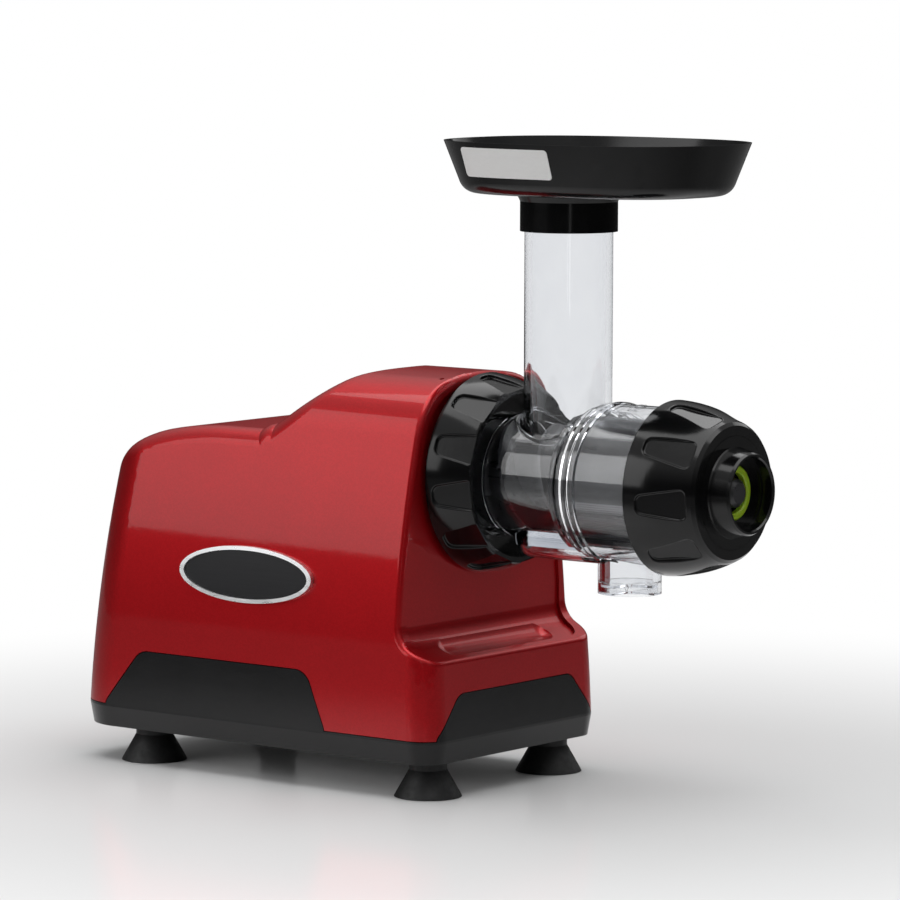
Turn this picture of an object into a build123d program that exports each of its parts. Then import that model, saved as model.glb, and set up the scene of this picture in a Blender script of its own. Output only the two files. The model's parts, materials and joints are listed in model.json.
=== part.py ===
from build123d import *
import os
from math import acos, atan2, copysign, cos, degrees, hypot, pi, radians, sin, sqrt, tan

# Horizontal masticating juicer. Millimetres, +Z up, floor at z = 0.
# +X points along the auger axis towards the pulp outlet, -Y is the badge side.
# The origin lies on the floor under the centre of the bounding box.

# ---- Driving dimensions -----------------------------------------------------

# Main axes and places
DRIVE_Z = 158.0            # height of the auger axis
CHUTE_X = 80.0             # axis of the feed chute
SPOUT_X = 118.6            # axis of the juice spout
SEAT_GAP = 0.3             # gap left where one piece seats on another
SHAFT_CLEARANCE = 0.05     # radial clearance of every shaft in its bore
SEAM = 0.4                 # visible parting line between the housing and its base

# Housing
REAR_X = -192.5            # rear end at the floor of the skirt
REAR_LEAN = 5.5            # degrees that the rear wall leans forward
FACE_X = 28.0              # upright front face behind the lock ring
FASCIA_X = 50.0            # front of the lower fascia
HOUSING_HALF_W = 72.0
HOUSING_WALL = 3.0
SKIRT_BOTTOM = 18.3
SKIRT_TOP = 30.0
HUMP_TOP = 209.0
SADDLE_TOP = 177.0
WAIST_Z = 39.0             # height where the side walls are widest
SIDE_BULGE_R = 568.0       # radius of the slightly convex side walls
CROWN_R = 150.0            # radius across the top of the hump
SHOULDER_R = 36.0
REAR_CORNER_R = 30.0
ROOF_EDGE_R = 11.0
ROOF_INNER_R = 5.0
FRONT_CORNER_R = 14.0
FACE_EDGE_R = 3.0
LEDGE_BACK_Z = 78.5
LEDGE_FRONT_Z = 69.0
LEDGE_FRONT_X = 47.2
LEDGE_BLEND_R = 13.0
POCKET_DEPTH = 1.4
POCKET_RIM = 6.0
SCOOP_R = 10.0
SCOOP_DEPTH = 2.4
SCOOP_HALF_L = 48.0

# Base
BASE_FLOOR = 3.0
BASE_WALL = 5.2
LIP_HEIGHT = 4.0
SKIRT_UNDERCUT = 1.8       # how far the skirt draws in at its foot
SKIRT_DRAFT_H = 10.5
FRONT_WINDOW_TOP = 52.0
SIDE_WINDOW_TOP = 59.5
FOOT_R = 17.0
FOOT_TOP_R = 9.5
FOOT_CONE = 13.5
FOOT_FRONT_X = 31.5
FOOT_REAR_X = -150.0
FOOT_Y = HOUSING_HALF_W - 22.0
SCREW_R = 1.7
SCREW_HEAD_R = 3.3
SCREW_HEAD = 2.0
SCREW_SINK = 0.2           # how far a screw head sits inside its counterbore
FOOT_SEAT_Z = 8.0          # underside of the foot's clamped web
FOOT_BOSS = 5.0
HOUSING_BOSS_R = 4.6
HOUSING_BOSS_TOP = 74.0
BASE_BOSS_TOP = 36.0
HOUSING_SCREW_X = (-118.0, -8.0)
HOUSING_SCREW_Y = HOUSING_HALF_W - 17.0

# Lock ring and its socket
SOCKET_R = 41.5
SOCKET_FACE_X = 34.0
SOCKET_BORE_R = 33.0
SOCKET_FLANGE_R = 46.0
RING_BACK_X = 28.5
RING_FRONT_X = 52.0
RING_BACK_R = 50.5
RING_FRONT_R = 44.6
RING_BORE_R = 44.0
RING_PADS = 12
RING_PAD_PHASE = 21.0      # degrees from -Y towards +Z
RING_PAD_DEPTH = 2.2
PAD_FLOOR_R = 0.8
PAD_EDGE_R = 0.6
RING_WEB = 3.2
RING_LAND = 3.4            # width of the ring's front edge
LUG_HALF_ANGLE = 10.0
LUG_BACK = 2.0             # from the ring's back to the socket's lugs
LUG_WIDTH = 2.4
LUG_COUNT = 3

# Drum
NECK_R = 31.0
NECK_BORE_R = 28.0
NECK_BACK_X = 30.0
NECK_STEP_X = 50.0
FLANGE_R = 38.0
FLANGE = 2.4
DRUM_STEP_X = 94.0
DRUM_RINGS = (             # start, end and radius of each ring, from the step forwards
    (1.2, 4.2, 36.5), (4.8, 6.4, 35.6), (7.0, 8.8, 38.1), (9.4, 10.6, 37.2),
    (11.2, 13.8, 39.5), (14.4, 15.6, 38.6), (16.2, 18.6, 40.3),
)
DRUM_R = 39.3
DRUM_BORE_R = 36.2
DRUM_SHOULDER_X = 147.0
DRUM_MOUTH_R = 36.2
DRUM_MOUTH_BORE_R = 34.0
DRUM_LUG_R = 37.4
DRUM_LUG_X = DRUM_SHOULDER_X + 7.6
DRUM_LUG = 2.4
DRUM_FRONT_X = DRUM_SHOULDER_X + 16.0
DRUM_BACK_WALL = 4.0
SEAL_R = 15.2
POD_BACK_X = 55.0
POD_BOTTOM = 118.6
POD_HEIGHT = 20.0
POD_HALF_W = 19.0
POD_WALL = 2.4

# Juice spout
SPOUT_R = 15.8
SPOUT_BORE_R = 12.4
SPOUT_SEAM_Z = 110.0
SPOUT_BOTTOM_Z = 104.0
SPOUT_SPIGOT_R = 14.2

# Chute and hopper
CHUTE_R = 22.0
CHUTE_BORE_R = 19.0
CHUTE_FLARE_R = 7.0
CHUTE_RELIEF = 0.5         # the bore widens by this where it meets the neck
HOPPER_X = 97.0
HOPPER_RIM_Z = 326.4
HOPPER_FLOOR_Z = HOPPER_RIM_Z - 26.1
CHUTE_TOP = HOPPER_FLOOR_Z - 4.3
HOPPER_HALF_L = 76.6
HOPPER_HALF_W = 59.4
HOPPER_DRAFT = 9.5         # how far the wall leans in from rim to floor
HOPPER_POWER = 2.6         # roundness of the oval, 2 is an ellipse
HOPPER_WALL = 2.4
HOPPER_EDGE_R = 9.0
COLLAR_R = 24.3
COLLAR_BOTTOM = HOPPER_FLOOR_Z - 18.8
LABEL_THICKNESS = 0.3
SLEEVE_CLEARANCE = 0.1     # radial, of the hopper's collar on the chute

# End cap and pulp nozzle
CAP_BACK_X = DRUM_SHOULDER_X - 2.5
CAP_BACK_R = 43.3
CAP_FACE_X = CAP_BACK_X + 36.2
CAP_FACE_R = 34.4
CAP_BULGE_X = CAP_BACK_X + 19.5
CAP_BULGE_R = 40.4
CAP_WALL = 3.0
CAP_PADS = 9
CAP_PAD_PHASE = -5.5       # degrees from -Y towards +Z
CAP_PAD_DEPTH = 2.2
CAP_TAB = 3.2
NOZZLE_FLANGE_R = 27.8
NOZZLE_FLANGE = 2.0
NOZZLE_BOSS_R = 22.5
NOZZLE_RIM_X = CAP_FACE_X + 10.8
NOZZLE_RIM_R = 20.2
NOZZLE_MOUTH_R = 17.9
NOZZLE_STEP_R = 17.2       # stop for a sleeve pushed into the mouth
NOZZLE_STEP = 4.0
NOZZLE_SHANK_R = 17.0
NOZZLE_BACK_X = CAP_FACE_X - 12.7
OUTLET_R = 10.0
OUTLET_RING_R = 13.6
OUTLET_RING_X = CAP_FACE_X - 2.7
OUTLET_RING = 3.0

# Auger and screen
AUGER_R = 27.2
AUGER_CORE_R = 15.0
AUGER_HUB_R = 12.0
AUGER_BACK_X = 35.0
AUGER_FRONT_X = DRUM_SHOULDER_X + 11.0
AUGER_TIP_X = CAP_FACE_X + 3.3
AUGER_TIP_R = 7.2
AUGER_TURNS = 2.5
FLIGHT = 3.2               # half width of a flight, two flights
FLIGHT_ROOT_R = 8.0
DRIVE_FRONT_X = 25.0       # front end of the driving spindle
HEX_AF = 10.0
HEX_BACK_X = 13.0
HEX_FRONT_X = 60.0
SCREEN_R = 29.0
SCREEN_THICKNESS = 0.6
SCREEN_BACK_X = 97.6
SCREEN_FRONT_X = DRUM_FRONT_X - 0.4
FRAME_BAR = 2.8

# Gear train: two spur stages
MODULE_FAST = 1.0
MODULE_SLOW = 1.25
MOTOR_TEETH = 12
IDLER_TEETH = 60
IDLER_PINION_TEETH = 14
OUTPUT_TEETH = 56
BACKLASH = 0.16
PRESSURE_ANGLE = 25.0
MOTOR_Z = 95.0
FAST_X = -47.0
FAST_WIDTH = 9.0
SLOW_X = -34.0
SLOW_WIDTH = 14.0
SPINDLE_R = 8.0
SPINDLE_FRONT_R = 11.0
IDLER_SHAFT_R = 4.0
PLATE = 5.0
FRONT_PLATE_X = 11.0
REAR_PLATE_X = -54.0
BUSH_WALL = 3.0
POST_R = 4.0
POSTS = ((-42.0, 66.0), (42.0, 66.0), (-42.0, 150.0), (44.0, 160.0))
PLATE_HALF_W = 48.0
PLATE_FOOT_Z = 24.0
PLATE_TOP_Z = 168.0

# Motor
MOTOR_HALF = 42.0
MOTOR_SHAFT_R = 3.5
ROTOR_R = 23.0
AIR_GAP = 0.6
STACK_X = -130.0
STACK_LENGTH = 40.0
WINDING = 12.0
FRONT_BRACKET_X = -74.0
REAR_BRACKET_X = -150.0
BRACKET = 5.0
FAN_X = -166.0
FAN_WIDTH = 13.0
FAN_R = 35.0
MOUNT_HEIGHT = 8.0
MOUNT_HALF_L = 5.0
MOUNT_HALF_W = 6.0
MOUNT_Y = 28.0
BOLT_OFFSET = 34.0
BOLT_R = 2.0

# Switch, badge and inlet
SWITCH_X = -86.0
SWITCH_HALF_L = 7.4
SWITCH_HALF_W = 5.0
SWITCH_RIM = 1.5
BADGE_X = -71.0
BADGE_Z = 104.7
BADGE_HALF_L = 43.5
BADGE_HALF_H = 14.2
BADGE_RIM = 2.0
BADGE_PROUD = 2.4
PLATE_PROUD = 1.5
INLET_Z = 52.0
INLET_HALF_W = 14.0
INLET_HALF_H = 10.0

DRIVE_AXIS = Axis((0, 0, DRIVE_Z), (1, 0, 0))


# ---- Helpers ----------------------------------------------------------------

def rod(x, length, radius, y=0.0, z=DRIVE_Z, bore=0.0):
    """Round bar along +X from x, with an optional bore."""
    ring = Circle(radius) - Circle(bore) if bore else Circle(radius)
    return Pos(x, y, z) * extrude(Plane.YZ * ring, amount=length)


def post(x, y, z, height, radius, bore=0.0):
    """Round bar along +Z from z, with an optional bore."""
    ring = Circle(radius) - Circle(bore) if bore else Circle(radius)
    return Pos(x, y, z) * extrude(ring, amount=height)


def block(x0, x1, y0, y1, z0, z1):
    """Box between two corners."""
    return Pos((x0 + x1) / 2, (y0 + y1) / 2, (z0 + z1) / 2) * Box(x1 - x0, y1 - y0, z1 - z0)


def turned(points, axis_z=DRIVE_Z):
    """Solid of revolution about the X axis at axis_z from (x, radius) points."""
    outline = Polyline(*[(x, axis_z + r) for x, r in points], close=True)
    return revolve(make_face(Plane.XZ * outline), Axis((0, 0, axis_z), (1, 0, 0)))


def curved(points, arcs, axis_z=DRIVE_Z):
    """Solid of revolution whose outline has arcs; arcs maps a segment's index to its middle point."""
    edges = []
    for i, (x, r) in enumerate(points):
        x2, r2 = points[(i + 1) % len(points)]
        if i in arcs:
            mx, mr = arcs[i]
            edge = ThreePointArc((x, axis_z + r), (mx, axis_z + mr), (x2, axis_z + r2)).edge()
        else:
            edge = Line((x, axis_z + r), (x2, axis_z + r2)).edge()
        edges.append(Plane.XZ * edge)
    return revolve(make_face(edges), Axis((0, 0, axis_z), (1, 0, 0)))


def sector(x0, x1, r_in, r_out, middle, half_angle):
    """Part of a ring about the auger axis; angles in degrees from -Y towards +Z."""
    angles = [radians(middle + half_angle * k / 2) for k in (-2, -1, 0, 1, 2)]
    reach = 2 * r_out
    fan = [(0, 0)] + [(-reach * cos(a), reach * sin(a)) for a in angles]
    wedge = Pos(x0, 0, DRIVE_Z) * extrude(Plane.YZ * make_face(Polyline(*fan, close=True)), amount=x1 - x0)
    return wedge & rod(x0, x1 - x0, r_out, bore=r_in)


def one(shape):
    """The single solid of a boolean result."""
    solids = shape.solids()
    return max(solids, key=lambda s: s.volume)


def save(shape, node):
    export_step(shape, f"parts/{node}.step")


# ---- Housing forms ----------------------------------------------------------

def arch_sketch(inset):
    """Front outline of the housing: bulging side walls, crown and shoulders."""
    offset_y = SIDE_BULGE_R - HOUSING_HALF_W
    left = Pos(offset_y, WAIST_Z) * Circle(SIDE_BULGE_R - inset)
    right = Pos(-offset_y, WAIST_Z) * Circle(SIDE_BULGE_R - inset)
    crown = Pos(0, HUMP_TOP - CROWN_R) * Circle(CROWN_R - inset)
    above = Pos(0, HUMP_TOP) * Rectangle(4 * HOUSING_HALF_W, 2 * HUMP_TOP)
    outline = left & right & crown & above
    shoulders = [v for v in outline.vertices() if v.Y > WAIST_Z]
    return fillet(shoulders, SHOULDER_R - inset)


def arch_prism(inset):
    length = FASCIA_X - REAR_X + 100
    return Pos(REAR_X - 50, 0, 0) * extrude(Plane.YZ * arch_sketch(inset), amount=length)


def side_prism(inset, front_inset):
    """Side outline of the housing: leaning rear, saddle, rise, front face and ledge."""
    lean = radians(REAR_LEAN)
    rear_z = SADDLE_TOP - 32.0
    rear_top = (REAR_X + 12.0 + inset, rear_z - inset)
    rear_foot = (rear_top[0] - rear_top[1] * tan(lean), 0)
    haunch = (REAR_X + 32.0 + 0.6 * inset, SADDLE_TOP - 11.5 - 0.8 * inset)
    brow = (REAR_X + 54.0, SADDLE_TOP - 3.8 - inset)
    flat_rear = (REAR_X + 92.0, SADDLE_TOP - inset)
    rise_foot = (FACE_X - 105.0, SADDLE_TOP - inset)
    rise = radians(39.0)
    foot_r = 14.0 + inset
    rise_start = (rise_foot[0] + foot_r * sin(rise), rise_foot[1] + foot_r * (1 - cos(rise)))
    crest = (FACE_X - 58.0, HUMP_TOP - 2.0 - inset)
    beyond = FASCIA_X + 40.0
    over_crest = (FACE_X - front_inset, crest[1] + (FACE_X - front_inset - crest[0]) * tan(radians(9.0)))
    roof_3 = TangentArc(flat_rear, brow, tangent=(-1, 0))
    roof_2 = TangentArc(brow, haunch, tangent=roof_3 % 1)
    roof_1 = TangentArc(haunch, rear_top, tangent=roof_2 % 1)
    front = [
        rise_start,
        crest,
        over_crest,
        (FACE_X - front_inset, LEDGE_BACK_Z - front_inset),
        (LEDGE_FRONT_X - 0.5 * front_inset, LEDGE_FRONT_Z - front_inset),
        (FASCIA_X - inset, SKIRT_BOTTOM),
        (FASCIA_X - inset, 0),
        rear_foot,
        rear_top,
    ]
    edges = [*Polyline(*front).edges(), roof_1.edge(), roof_2.edge(), roof_3.edge()]
    edges += [Line(flat_rear, rise_foot).edge(), RadiusArc(rise_foot, rise_start, foot_r).edge()]
    face = make_face(edges)
    face = fillet(face.vertices().sort_by_distance(Vector(*crest))[0:1], 40.0)
    ledge_back = Vector(FACE_X - front_inset, LEDGE_BACK_Z - front_inset)
    face = fillet(face.vertices().sort_by_distance(ledge_back)[0:1], LEDGE_BLEND_R)
    return extrude(Plane.XZ * face, amount=2 * HOUSING_HALF_W, both=True)


def walls_form(inset, front_inset):
    """Housing form with its upright corners rounded, roof edges still sharp."""
    form = one(arch_prism(inset) & side_prism(inset, front_inset))

    def upright(e, low, high):
        middle = e @ 0.5
        tall = abs((e @ 0).Z - (e @ 1).Z) > 25
        return tall and low < middle.X < high and abs(middle.Y) > HOUSING_HALF_W / 2

    rear = [e for e in form.edges() if upright(e, REAR_X - 50, REAR_X + 20)]
    form = fillet(rear, REAR_CORNER_R - inset)
    front = [e for e in form.edges() if upright(e, FASCIA_X - 8, FASCIA_X + 5)]
    return one(fillet(front, FRONT_CORNER_R - min(inset, front_inset)))


def roof_edges(form, inset):
    """Edges where the roof meets the side walls, the rear wall and the crown."""
    rear_top_x = REAR_X + 12.0 + inset
    chain = []
    for e in form.edges():
        middle = e @ 0.5
        if middle.Z < SADDLE_TOP - 34.0 - inset or middle.X > -5:
            continue
        across = abs(middle.Y) < 1e-3 and e.geom_type == GeomType.LINE
        if across and abs(middle.X - rear_top_x) > 0.5:
            continue
        chain.append(e)
    return chain


def housing_form(inset, front_inset):
    form = walls_form(inset, front_inset)
    return one(fillet(roof_edges(form, inset), ROOF_INNER_R))


def oval(half_l, half_w, power, count=28):
    """Closed superellipse in the XY plane."""
    points = []
    for i in range(count):
        a = 2 * pi * i / count
        c, s = cos(a), sin(a)
        x = half_l * abs(c) ** (2 / power) * (1 if c >= 0 else -1)
        y = half_w * abs(s) ** (2 / power) * (1 if s >= 0 else -1)
        points.append((x, y))
    return make_face(Spline(*points, periodic=True))


# ---- Housing and base -------------------------------------------------------

def window_prisms(grow):
    """Openings of the housing skirt that the base's panels fill, front and sides."""
    foot_z = SKIRT_TOP - 10
    front_pts = [(-64 - grow, foot_z), (-64 - grow, SKIRT_TOP + 1 + grow), (-46 - grow, FRONT_WINDOW_TOP + grow),
                 (46 + grow, FRONT_WINDOW_TOP + grow), (64 + grow, SKIRT_TOP + 1 + grow), (64 + grow, foot_z)]
    front = make_face(Polyline(*front_pts, close=True))
    tops = [v for v in front.vertices() if v.Y > FRONT_WINDOW_TOP - 1]
    front = fillet(tops, 9.0)
    lows = [v for v in front.vertices() if abs(v.Y - SKIRT_TOP - 1 - grow) < 0.1]
    front = fillet(lows, 6.0)
    front_prism = Pos(FACE_X - 8, 0, 0) * extrude(Plane.YZ * front, amount=60)
    low_x, high_x = REAR_X + 28 - grow, FACE_X - 46 + grow
    side_pts = [(low_x, foot_z), (low_x, SKIRT_TOP + 1 + grow), (low_x + 24, SIDE_WINDOW_TOP + grow),
                (high_x - 12, SIDE_WINDOW_TOP + grow), (high_x, SKIRT_TOP + 1 + grow), (high_x, foot_z)]
    side = make_face(Polyline(*side_pts, close=True))
    tops = [v for v in side.vertices() if v.Y > SIDE_WINDOW_TOP - 1]
    side = fillet(tops, 11.0)
    lows = [v for v in side.vertices() if abs(v.Y - SKIRT_TOP - 1 - grow) < 0.1]
    side = fillet(lows, 6.0)
    side_prism_y = extrude(Plane.XZ * side, amount=2 * HOUSING_HALF_W, both=True)
    return front_prism, side_prism_y


def make_body_shell(outer, inner):
    shell = outer - inner
    # Recessed panel of the front face and ledge, inside a raised rim
    panel = Pos(FACE_X - 8, 0, 0) * extrude(Plane.YZ * arch_sketch(POCKET_RIM), amount=40)
    plan = Pos(FACE_X, 0, LEDGE_FRONT_Z - 6) * extrude(
        fillet(Rectangle(2 * (LEDGE_FRONT_X - FACE_X - 3.5), 2 * (HOUSING_HALF_W - 9)).vertices(), 11.0),
        amount=HUMP_TOP)
    shell -= (panel & plan) - side_prism(0, POCKET_DEPTH)
    # Shallow finger scoop along the ledge
    ledge_mid = (FACE_X + LEDGE_FRONT_X) / 2 + 1.5
    scoop_z = (LEDGE_BACK_Z + LEDGE_FRONT_Z) / 2 - POCKET_DEPTH + SCOOP_R - SCOOP_DEPTH
    half = SCOOP_HALF_L - SCOOP_R
    outline = make_face([
        Line((-half, 0), (half, 0)).edge(),
        Line((half, 0), (half + SCOOP_R, 0)).edge(),
        ThreePointArc((half + SCOOP_R, 0), (half + SCOOP_R * sqrt(0.5), SCOOP_R * sqrt(0.5)), (half, SCOOP_R)).edge(),
        Line((half, SCOOP_R), (-half, SCOOP_R)).edge(),
        ThreePointArc((-half, SCOOP_R), (-half - SCOOP_R * sqrt(0.5), SCOOP_R * sqrt(0.5)),
                      (-half - SCOOP_R, 0)).edge(),
        Line((-half - SCOOP_R, 0), (-half, 0)).edge(),
    ])
    shell -= Pos(ledge_mid, 0, scoop_z) * revolve(Plane.YZ * outline, Axis.Y)
    # Open bottom, windows for the base panels
    front_window, side_window = window_prisms(SEAM)
    shell -= block(REAR_X - 60, FASCIA_X + 60, -100, 100, -10, SKIRT_TOP + SEAM)
    shell -= front_window
    shell -= side_window
    # Front hole for the socket, holes for switch and inlet
    shell -= rod(FACE_X - 12, 30, SOCKET_R + SEAT_GAP)
    shell -= Pos(SWITCH_X, 0, SADDLE_TOP - 12) * extrude(
        Ellipse(SWITCH_HALF_L - 1.2, SWITCH_HALF_W - 1.2), amount=30)
    shell -= inlet_place() * rounded_bar(-10, 20, INLET_HALF_W + SHAFT_CLEARANCE, INLET_HALF_H + SHAFT_CLEARANCE)
    # Screw bosses joined to the side walls by ribs
    for x, y in housing_screw_places():
        foot_z = BASE_BOSS_TOP + SEAT_GAP
        boss = post(x, y, foot_z, HOUSING_BOSS_TOP - foot_z, HOUSING_BOSS_R)
        wall_y = copysign(HOUSING_HALF_W + 4, y)
        rib = block(x - 1.2, x + 1.2, min(y, wall_y), max(y, wall_y), SIDE_WINDOW_TOP + 2.5, HOUSING_BOSS_TOP)
        shell += (boss + rib) & inner
        shell -= post(x, y, foot_z - 1, HOUSING_BOSS_TOP - foot_z - 3, SCREW_R + SHAFT_CLEARANCE)
    # Alignment dimple on the hump, towards the badge side
    shell -= post(FACE_X - 6.5, -27, HUMP_TOP - 4.2, 10, 1.3)
    return one(shell)


def make_base_tray(walls):
    above = block(REAR_X - 60, FASCIA_X + 60, -100, 100, SKIRT_TOP, HUMP_TOP + 50)
    upper = one(walls & above)
    lip_inset = HOUSING_WALL + SEAT_GAP
    lip_out = one(walls_form(lip_inset, lip_inset + POCKET_DEPTH) & above)
    lip_in = one(walls_form(BASE_WALL, BASE_WALL + POCKET_DEPTH) & above)
    skirt_face = upper.faces().sort_by(Axis.Z)[0]
    inner_face = lip_in.faces().sort_by(Axis.Z)[0]
    drop = SKIRT_TOP - SKIRT_BOTTOM
    tray = extrude(skirt_face, amount=drop)
    foot = tray.faces().sort_by(Axis.Z)[0]
    tray = chamfer(foot.edges(), length=SKIRT_UNDERCUT, length2=SKIRT_DRAFT_H, reference=foot)
    tray -= extrude(inner_face, amount=drop - BASE_FLOOR)
    band = block(REAR_X - 60, FASCIA_X + 60, -100, 100, SKIRT_TOP - 1, SKIRT_TOP + LIP_HEIGHT)
    tray += (lip_out - lip_in) & band
    # Black panels that fill the windows of the housing
    panels = upper - one(walls_form(HOUSING_WALL, HOUSING_WALL + POCKET_DEPTH))
    for window in window_prisms(0):
        tray += panels & window
    floor = SKIRT_BOTTOM + BASE_FLOOR
    root = floor - 1
    for x, y in housing_screw_places():
        tray += post(x, y, root, BASE_BOSS_TOP - root, HOUSING_BOSS_R)
        tray -= post(x, y, 0, BASE_BOSS_TOP + 1, SCREW_R + SEAT_GAP)
        tray -= post(x, y, 0, SKIRT_BOTTOM + SCREW_SINK + SCREW_HEAD, SCREW_HEAD_R + SEAT_GAP)
    for x, y in foot_places():
        tray += post(x, y, root, FOOT_BOSS + 1, 6.0)
        tray -= post(x, y, 0, floor + FOOT_BOSS - 1, SCREW_R + SHAFT_CLEARANCE)
    # Cradle under the motor and pads under the gear plates
    for x, y in mount_places():
        top = MOTOR_Z - MOTOR_HALF - MOUNT_HEIGHT - SEAT_GAP
        tray += block(x - MOUNT_HALF_L, x + MOUNT_HALF_L, y - MOUNT_HALF_W, y + MOUNT_HALF_W, root, top)
    for x in (FRONT_PLATE_X, REAR_PLATE_X):
        tray += block(x - 1, x + PLATE + 1, -PLATE_HALF_W, PLATE_HALF_W, root, PLATE_FOOT_Z - SEAT_GAP)
    # Cooling slots below the fan
    for i in range(9):
        x = REAR_BRACKET_X - 20 + 6 * i
        tray -= block(x - 1.4, x + 1.4, -18, 18, 0, floor + 1)
    return one(tray)


def housing_screw_places():
    return [(x, side * HOUSING_SCREW_Y) for x in HOUSING_SCREW_X for side in (-1, 1)]


def mount_places():
    ends = (STACK_X + MOUNT_HALF_L + 1, STACK_X + STACK_LENGTH - MOUNT_HALF_L - 1)
    return [(x, side * MOUNT_Y) for x in ends for side in (-1, 1)]


def foot_places():
    return [(x, y) for x in (FOOT_FRONT_X, FOOT_REAR_X) for y in (-FOOT_Y, FOOT_Y)]


def make_foot(x, y):
    """Cone foot, open below, clamped by a screw through its web."""
    top = SKIRT_BOTTOM - SEAT_GAP
    outline = Polyline((0, 0), (FOOT_R, 0), (FOOT_R - 0.8, 1.6), (FOOT_TOP_R, FOOT_CONE),
                       (FOOT_TOP_R, top), (0, top), close=True)
    foot = revolve(make_face(Plane.XZ * outline), Axis.Z)
    foot -= post(0, 0, -1, FOOT_SEAT_Z + 1, SCREW_HEAD_R + 1.0)
    foot -= post(0, 0, 0, top + 1, SCREW_R + SHAFT_CLEARANCE)
    return Pos(x, y, 0) * foot


def make_screw(x, y, head_z, length):
    """Screw driven upwards; head_z is the underside of its head."""
    head = post(x, y, head_z, SCREW_HEAD, SCREW_HEAD_R)
    return head + post(x, y, head_z + SCREW_HEAD, length, SCREW_R)


# ---- Badge, switch, inlet ---------------------------------------------------

def make_badge():
    """Oval badge that follows the curve of the side wall: bright rim and blank plate."""
    def layer(outline, proud):
        prism = Pos(BADGE_X, 0, BADGE_Z) * extrude(Plane.XZ * outline, amount=2 * HOUSING_HALF_W)
        return (arch_prism(-proud) - arch_prism(-0.05)) & prism

    inner_l = BADGE_HALF_L - 1.4 * BADGE_RIM
    inner_h = BADGE_HALF_H - BADGE_RIM
    rim = Ellipse(BADGE_HALF_L, BADGE_HALF_H) - Ellipse(inner_l, inner_h)
    bezel = one(layer(rim, BADGE_PROUD))
    plate = layer(Ellipse(inner_l - 0.1, inner_h - 0.1), PLATE_PROUD)
    return bezel, one(plate)


def make_switch():
    top = SADDLE_TOP
    rim = extrude(Ellipse(SWITCH_HALF_L, SWITCH_HALF_W) - Ellipse(
        SWITCH_HALF_L - SWITCH_RIM, SWITCH_HALF_W - SWITCH_RIM), amount=1.2)
    neck = extrude(Ellipse(SWITCH_HALF_L - 1.4, SWITCH_HALF_W - 1.4) - Ellipse(
        SWITCH_HALF_L - SWITCH_RIM - 0.4, SWITCH_HALF_W - SWITCH_RIM - 0.4), amount=-5.0)
    bezel = Pos(SWITCH_X, 0, top + 0.1) * (rim + neck)
    body = Pos(SWITCH_X, 0, top - 5.2) * extrude(
        Ellipse(SWITCH_HALF_L + 1.5, SWITCH_HALF_W + 1.5), amount=-13.0)
    body -= rocker_space()
    return one(bezel), one(body)


def rocker_space():
    return block(SWITCH_X - SWITCH_HALF_L, SWITCH_X + SWITCH_HALF_L, -SWITCH_HALF_W, SWITCH_HALF_W,
                 SADDLE_TOP - 14.0, SADDLE_TOP - 5.0) & Pos(SWITCH_X, 0, SADDLE_TOP - 14.0) * extrude(
        Ellipse(SWITCH_HALF_L - 0.8, SWITCH_HALF_W - 0.8), amount=12)


def make_rocker():
    """Rocker with two slopes; it tilts about a pin along Y below the bezel."""
    half = SWITCH_HALF_L - SWITCH_RIM - 1.5
    wide = SWITCH_HALF_W - SWITCH_RIM - 0.9
    outline = Polyline((-half + 1.0, -3.5), (half - 1.0, -3.5), (half, 2.2), (0, 0.9), (-half, 2.2), close=True)
    cap = extrude(Plane.XZ * make_face(outline), amount=wide, both=True)
    cap &= Pos(0, 0, -5) * extrude(Ellipse(half + 0.2, wide + 0.2), amount=10)
    stem = block(-1.2, 1.2, -2.0, 2.0, -8.0, -3.0)
    return Pos(SWITCH_X, 0, SADDLE_TOP) * (cap + stem)


def inlet_place():
    """Place of the inlet on the leaning rear wall; local +X points into the housing."""
    wall_x = REAR_X + 12.0 - (SADDLE_TOP - 32.0 - INLET_Z) * tan(radians(REAR_LEAN))
    return Pos(wall_x, 0, INLET_Z) * Rot(0, REAR_LEAN, 0)


def rounded_bar(x0, x1, half_w, half_h, corner=3.0):
    outline = fillet(Rectangle(2 * half_w, 2 * half_h).vertices(), corner)
    return Pos(x0, 0, 0) * extrude(Plane.YZ * outline, amount=x1 - x0)


def make_inlet():
    """Appliance inlet with a flange behind the wall and three blades in its well."""
    flange_x = HOUSING_WALL + SEAT_GAP
    shell = rounded_bar(-0.6, 15, INLET_HALF_W, INLET_HALF_H)
    shell += rounded_bar(flange_x, flange_x + 2, INLET_HALF_W + 4, INLET_HALF_H + 3)
    shell -= rounded_bar(-2, 12, INLET_HALF_W - 2.2, INLET_HALF_H - 2.2, 2.0)
    pins = []
    for y, z in ((-6.0, -2.0), (0.0, 2.5), (6.0, -2.0)):
        pins.append(Pos(0, y, z) * block(5.5, 17.5, -0.8, 0.8, -2, 2))
        shell -= Pos(0, y, z) * block(10, 20, -0.85, 0.85, -2.05, 2.05)
    place = inlet_place()
    return one(place * shell), Compound([one(place * pin) for pin in pins])


# ---- Lock ring, socket and drum ---------------------------------------------

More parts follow.
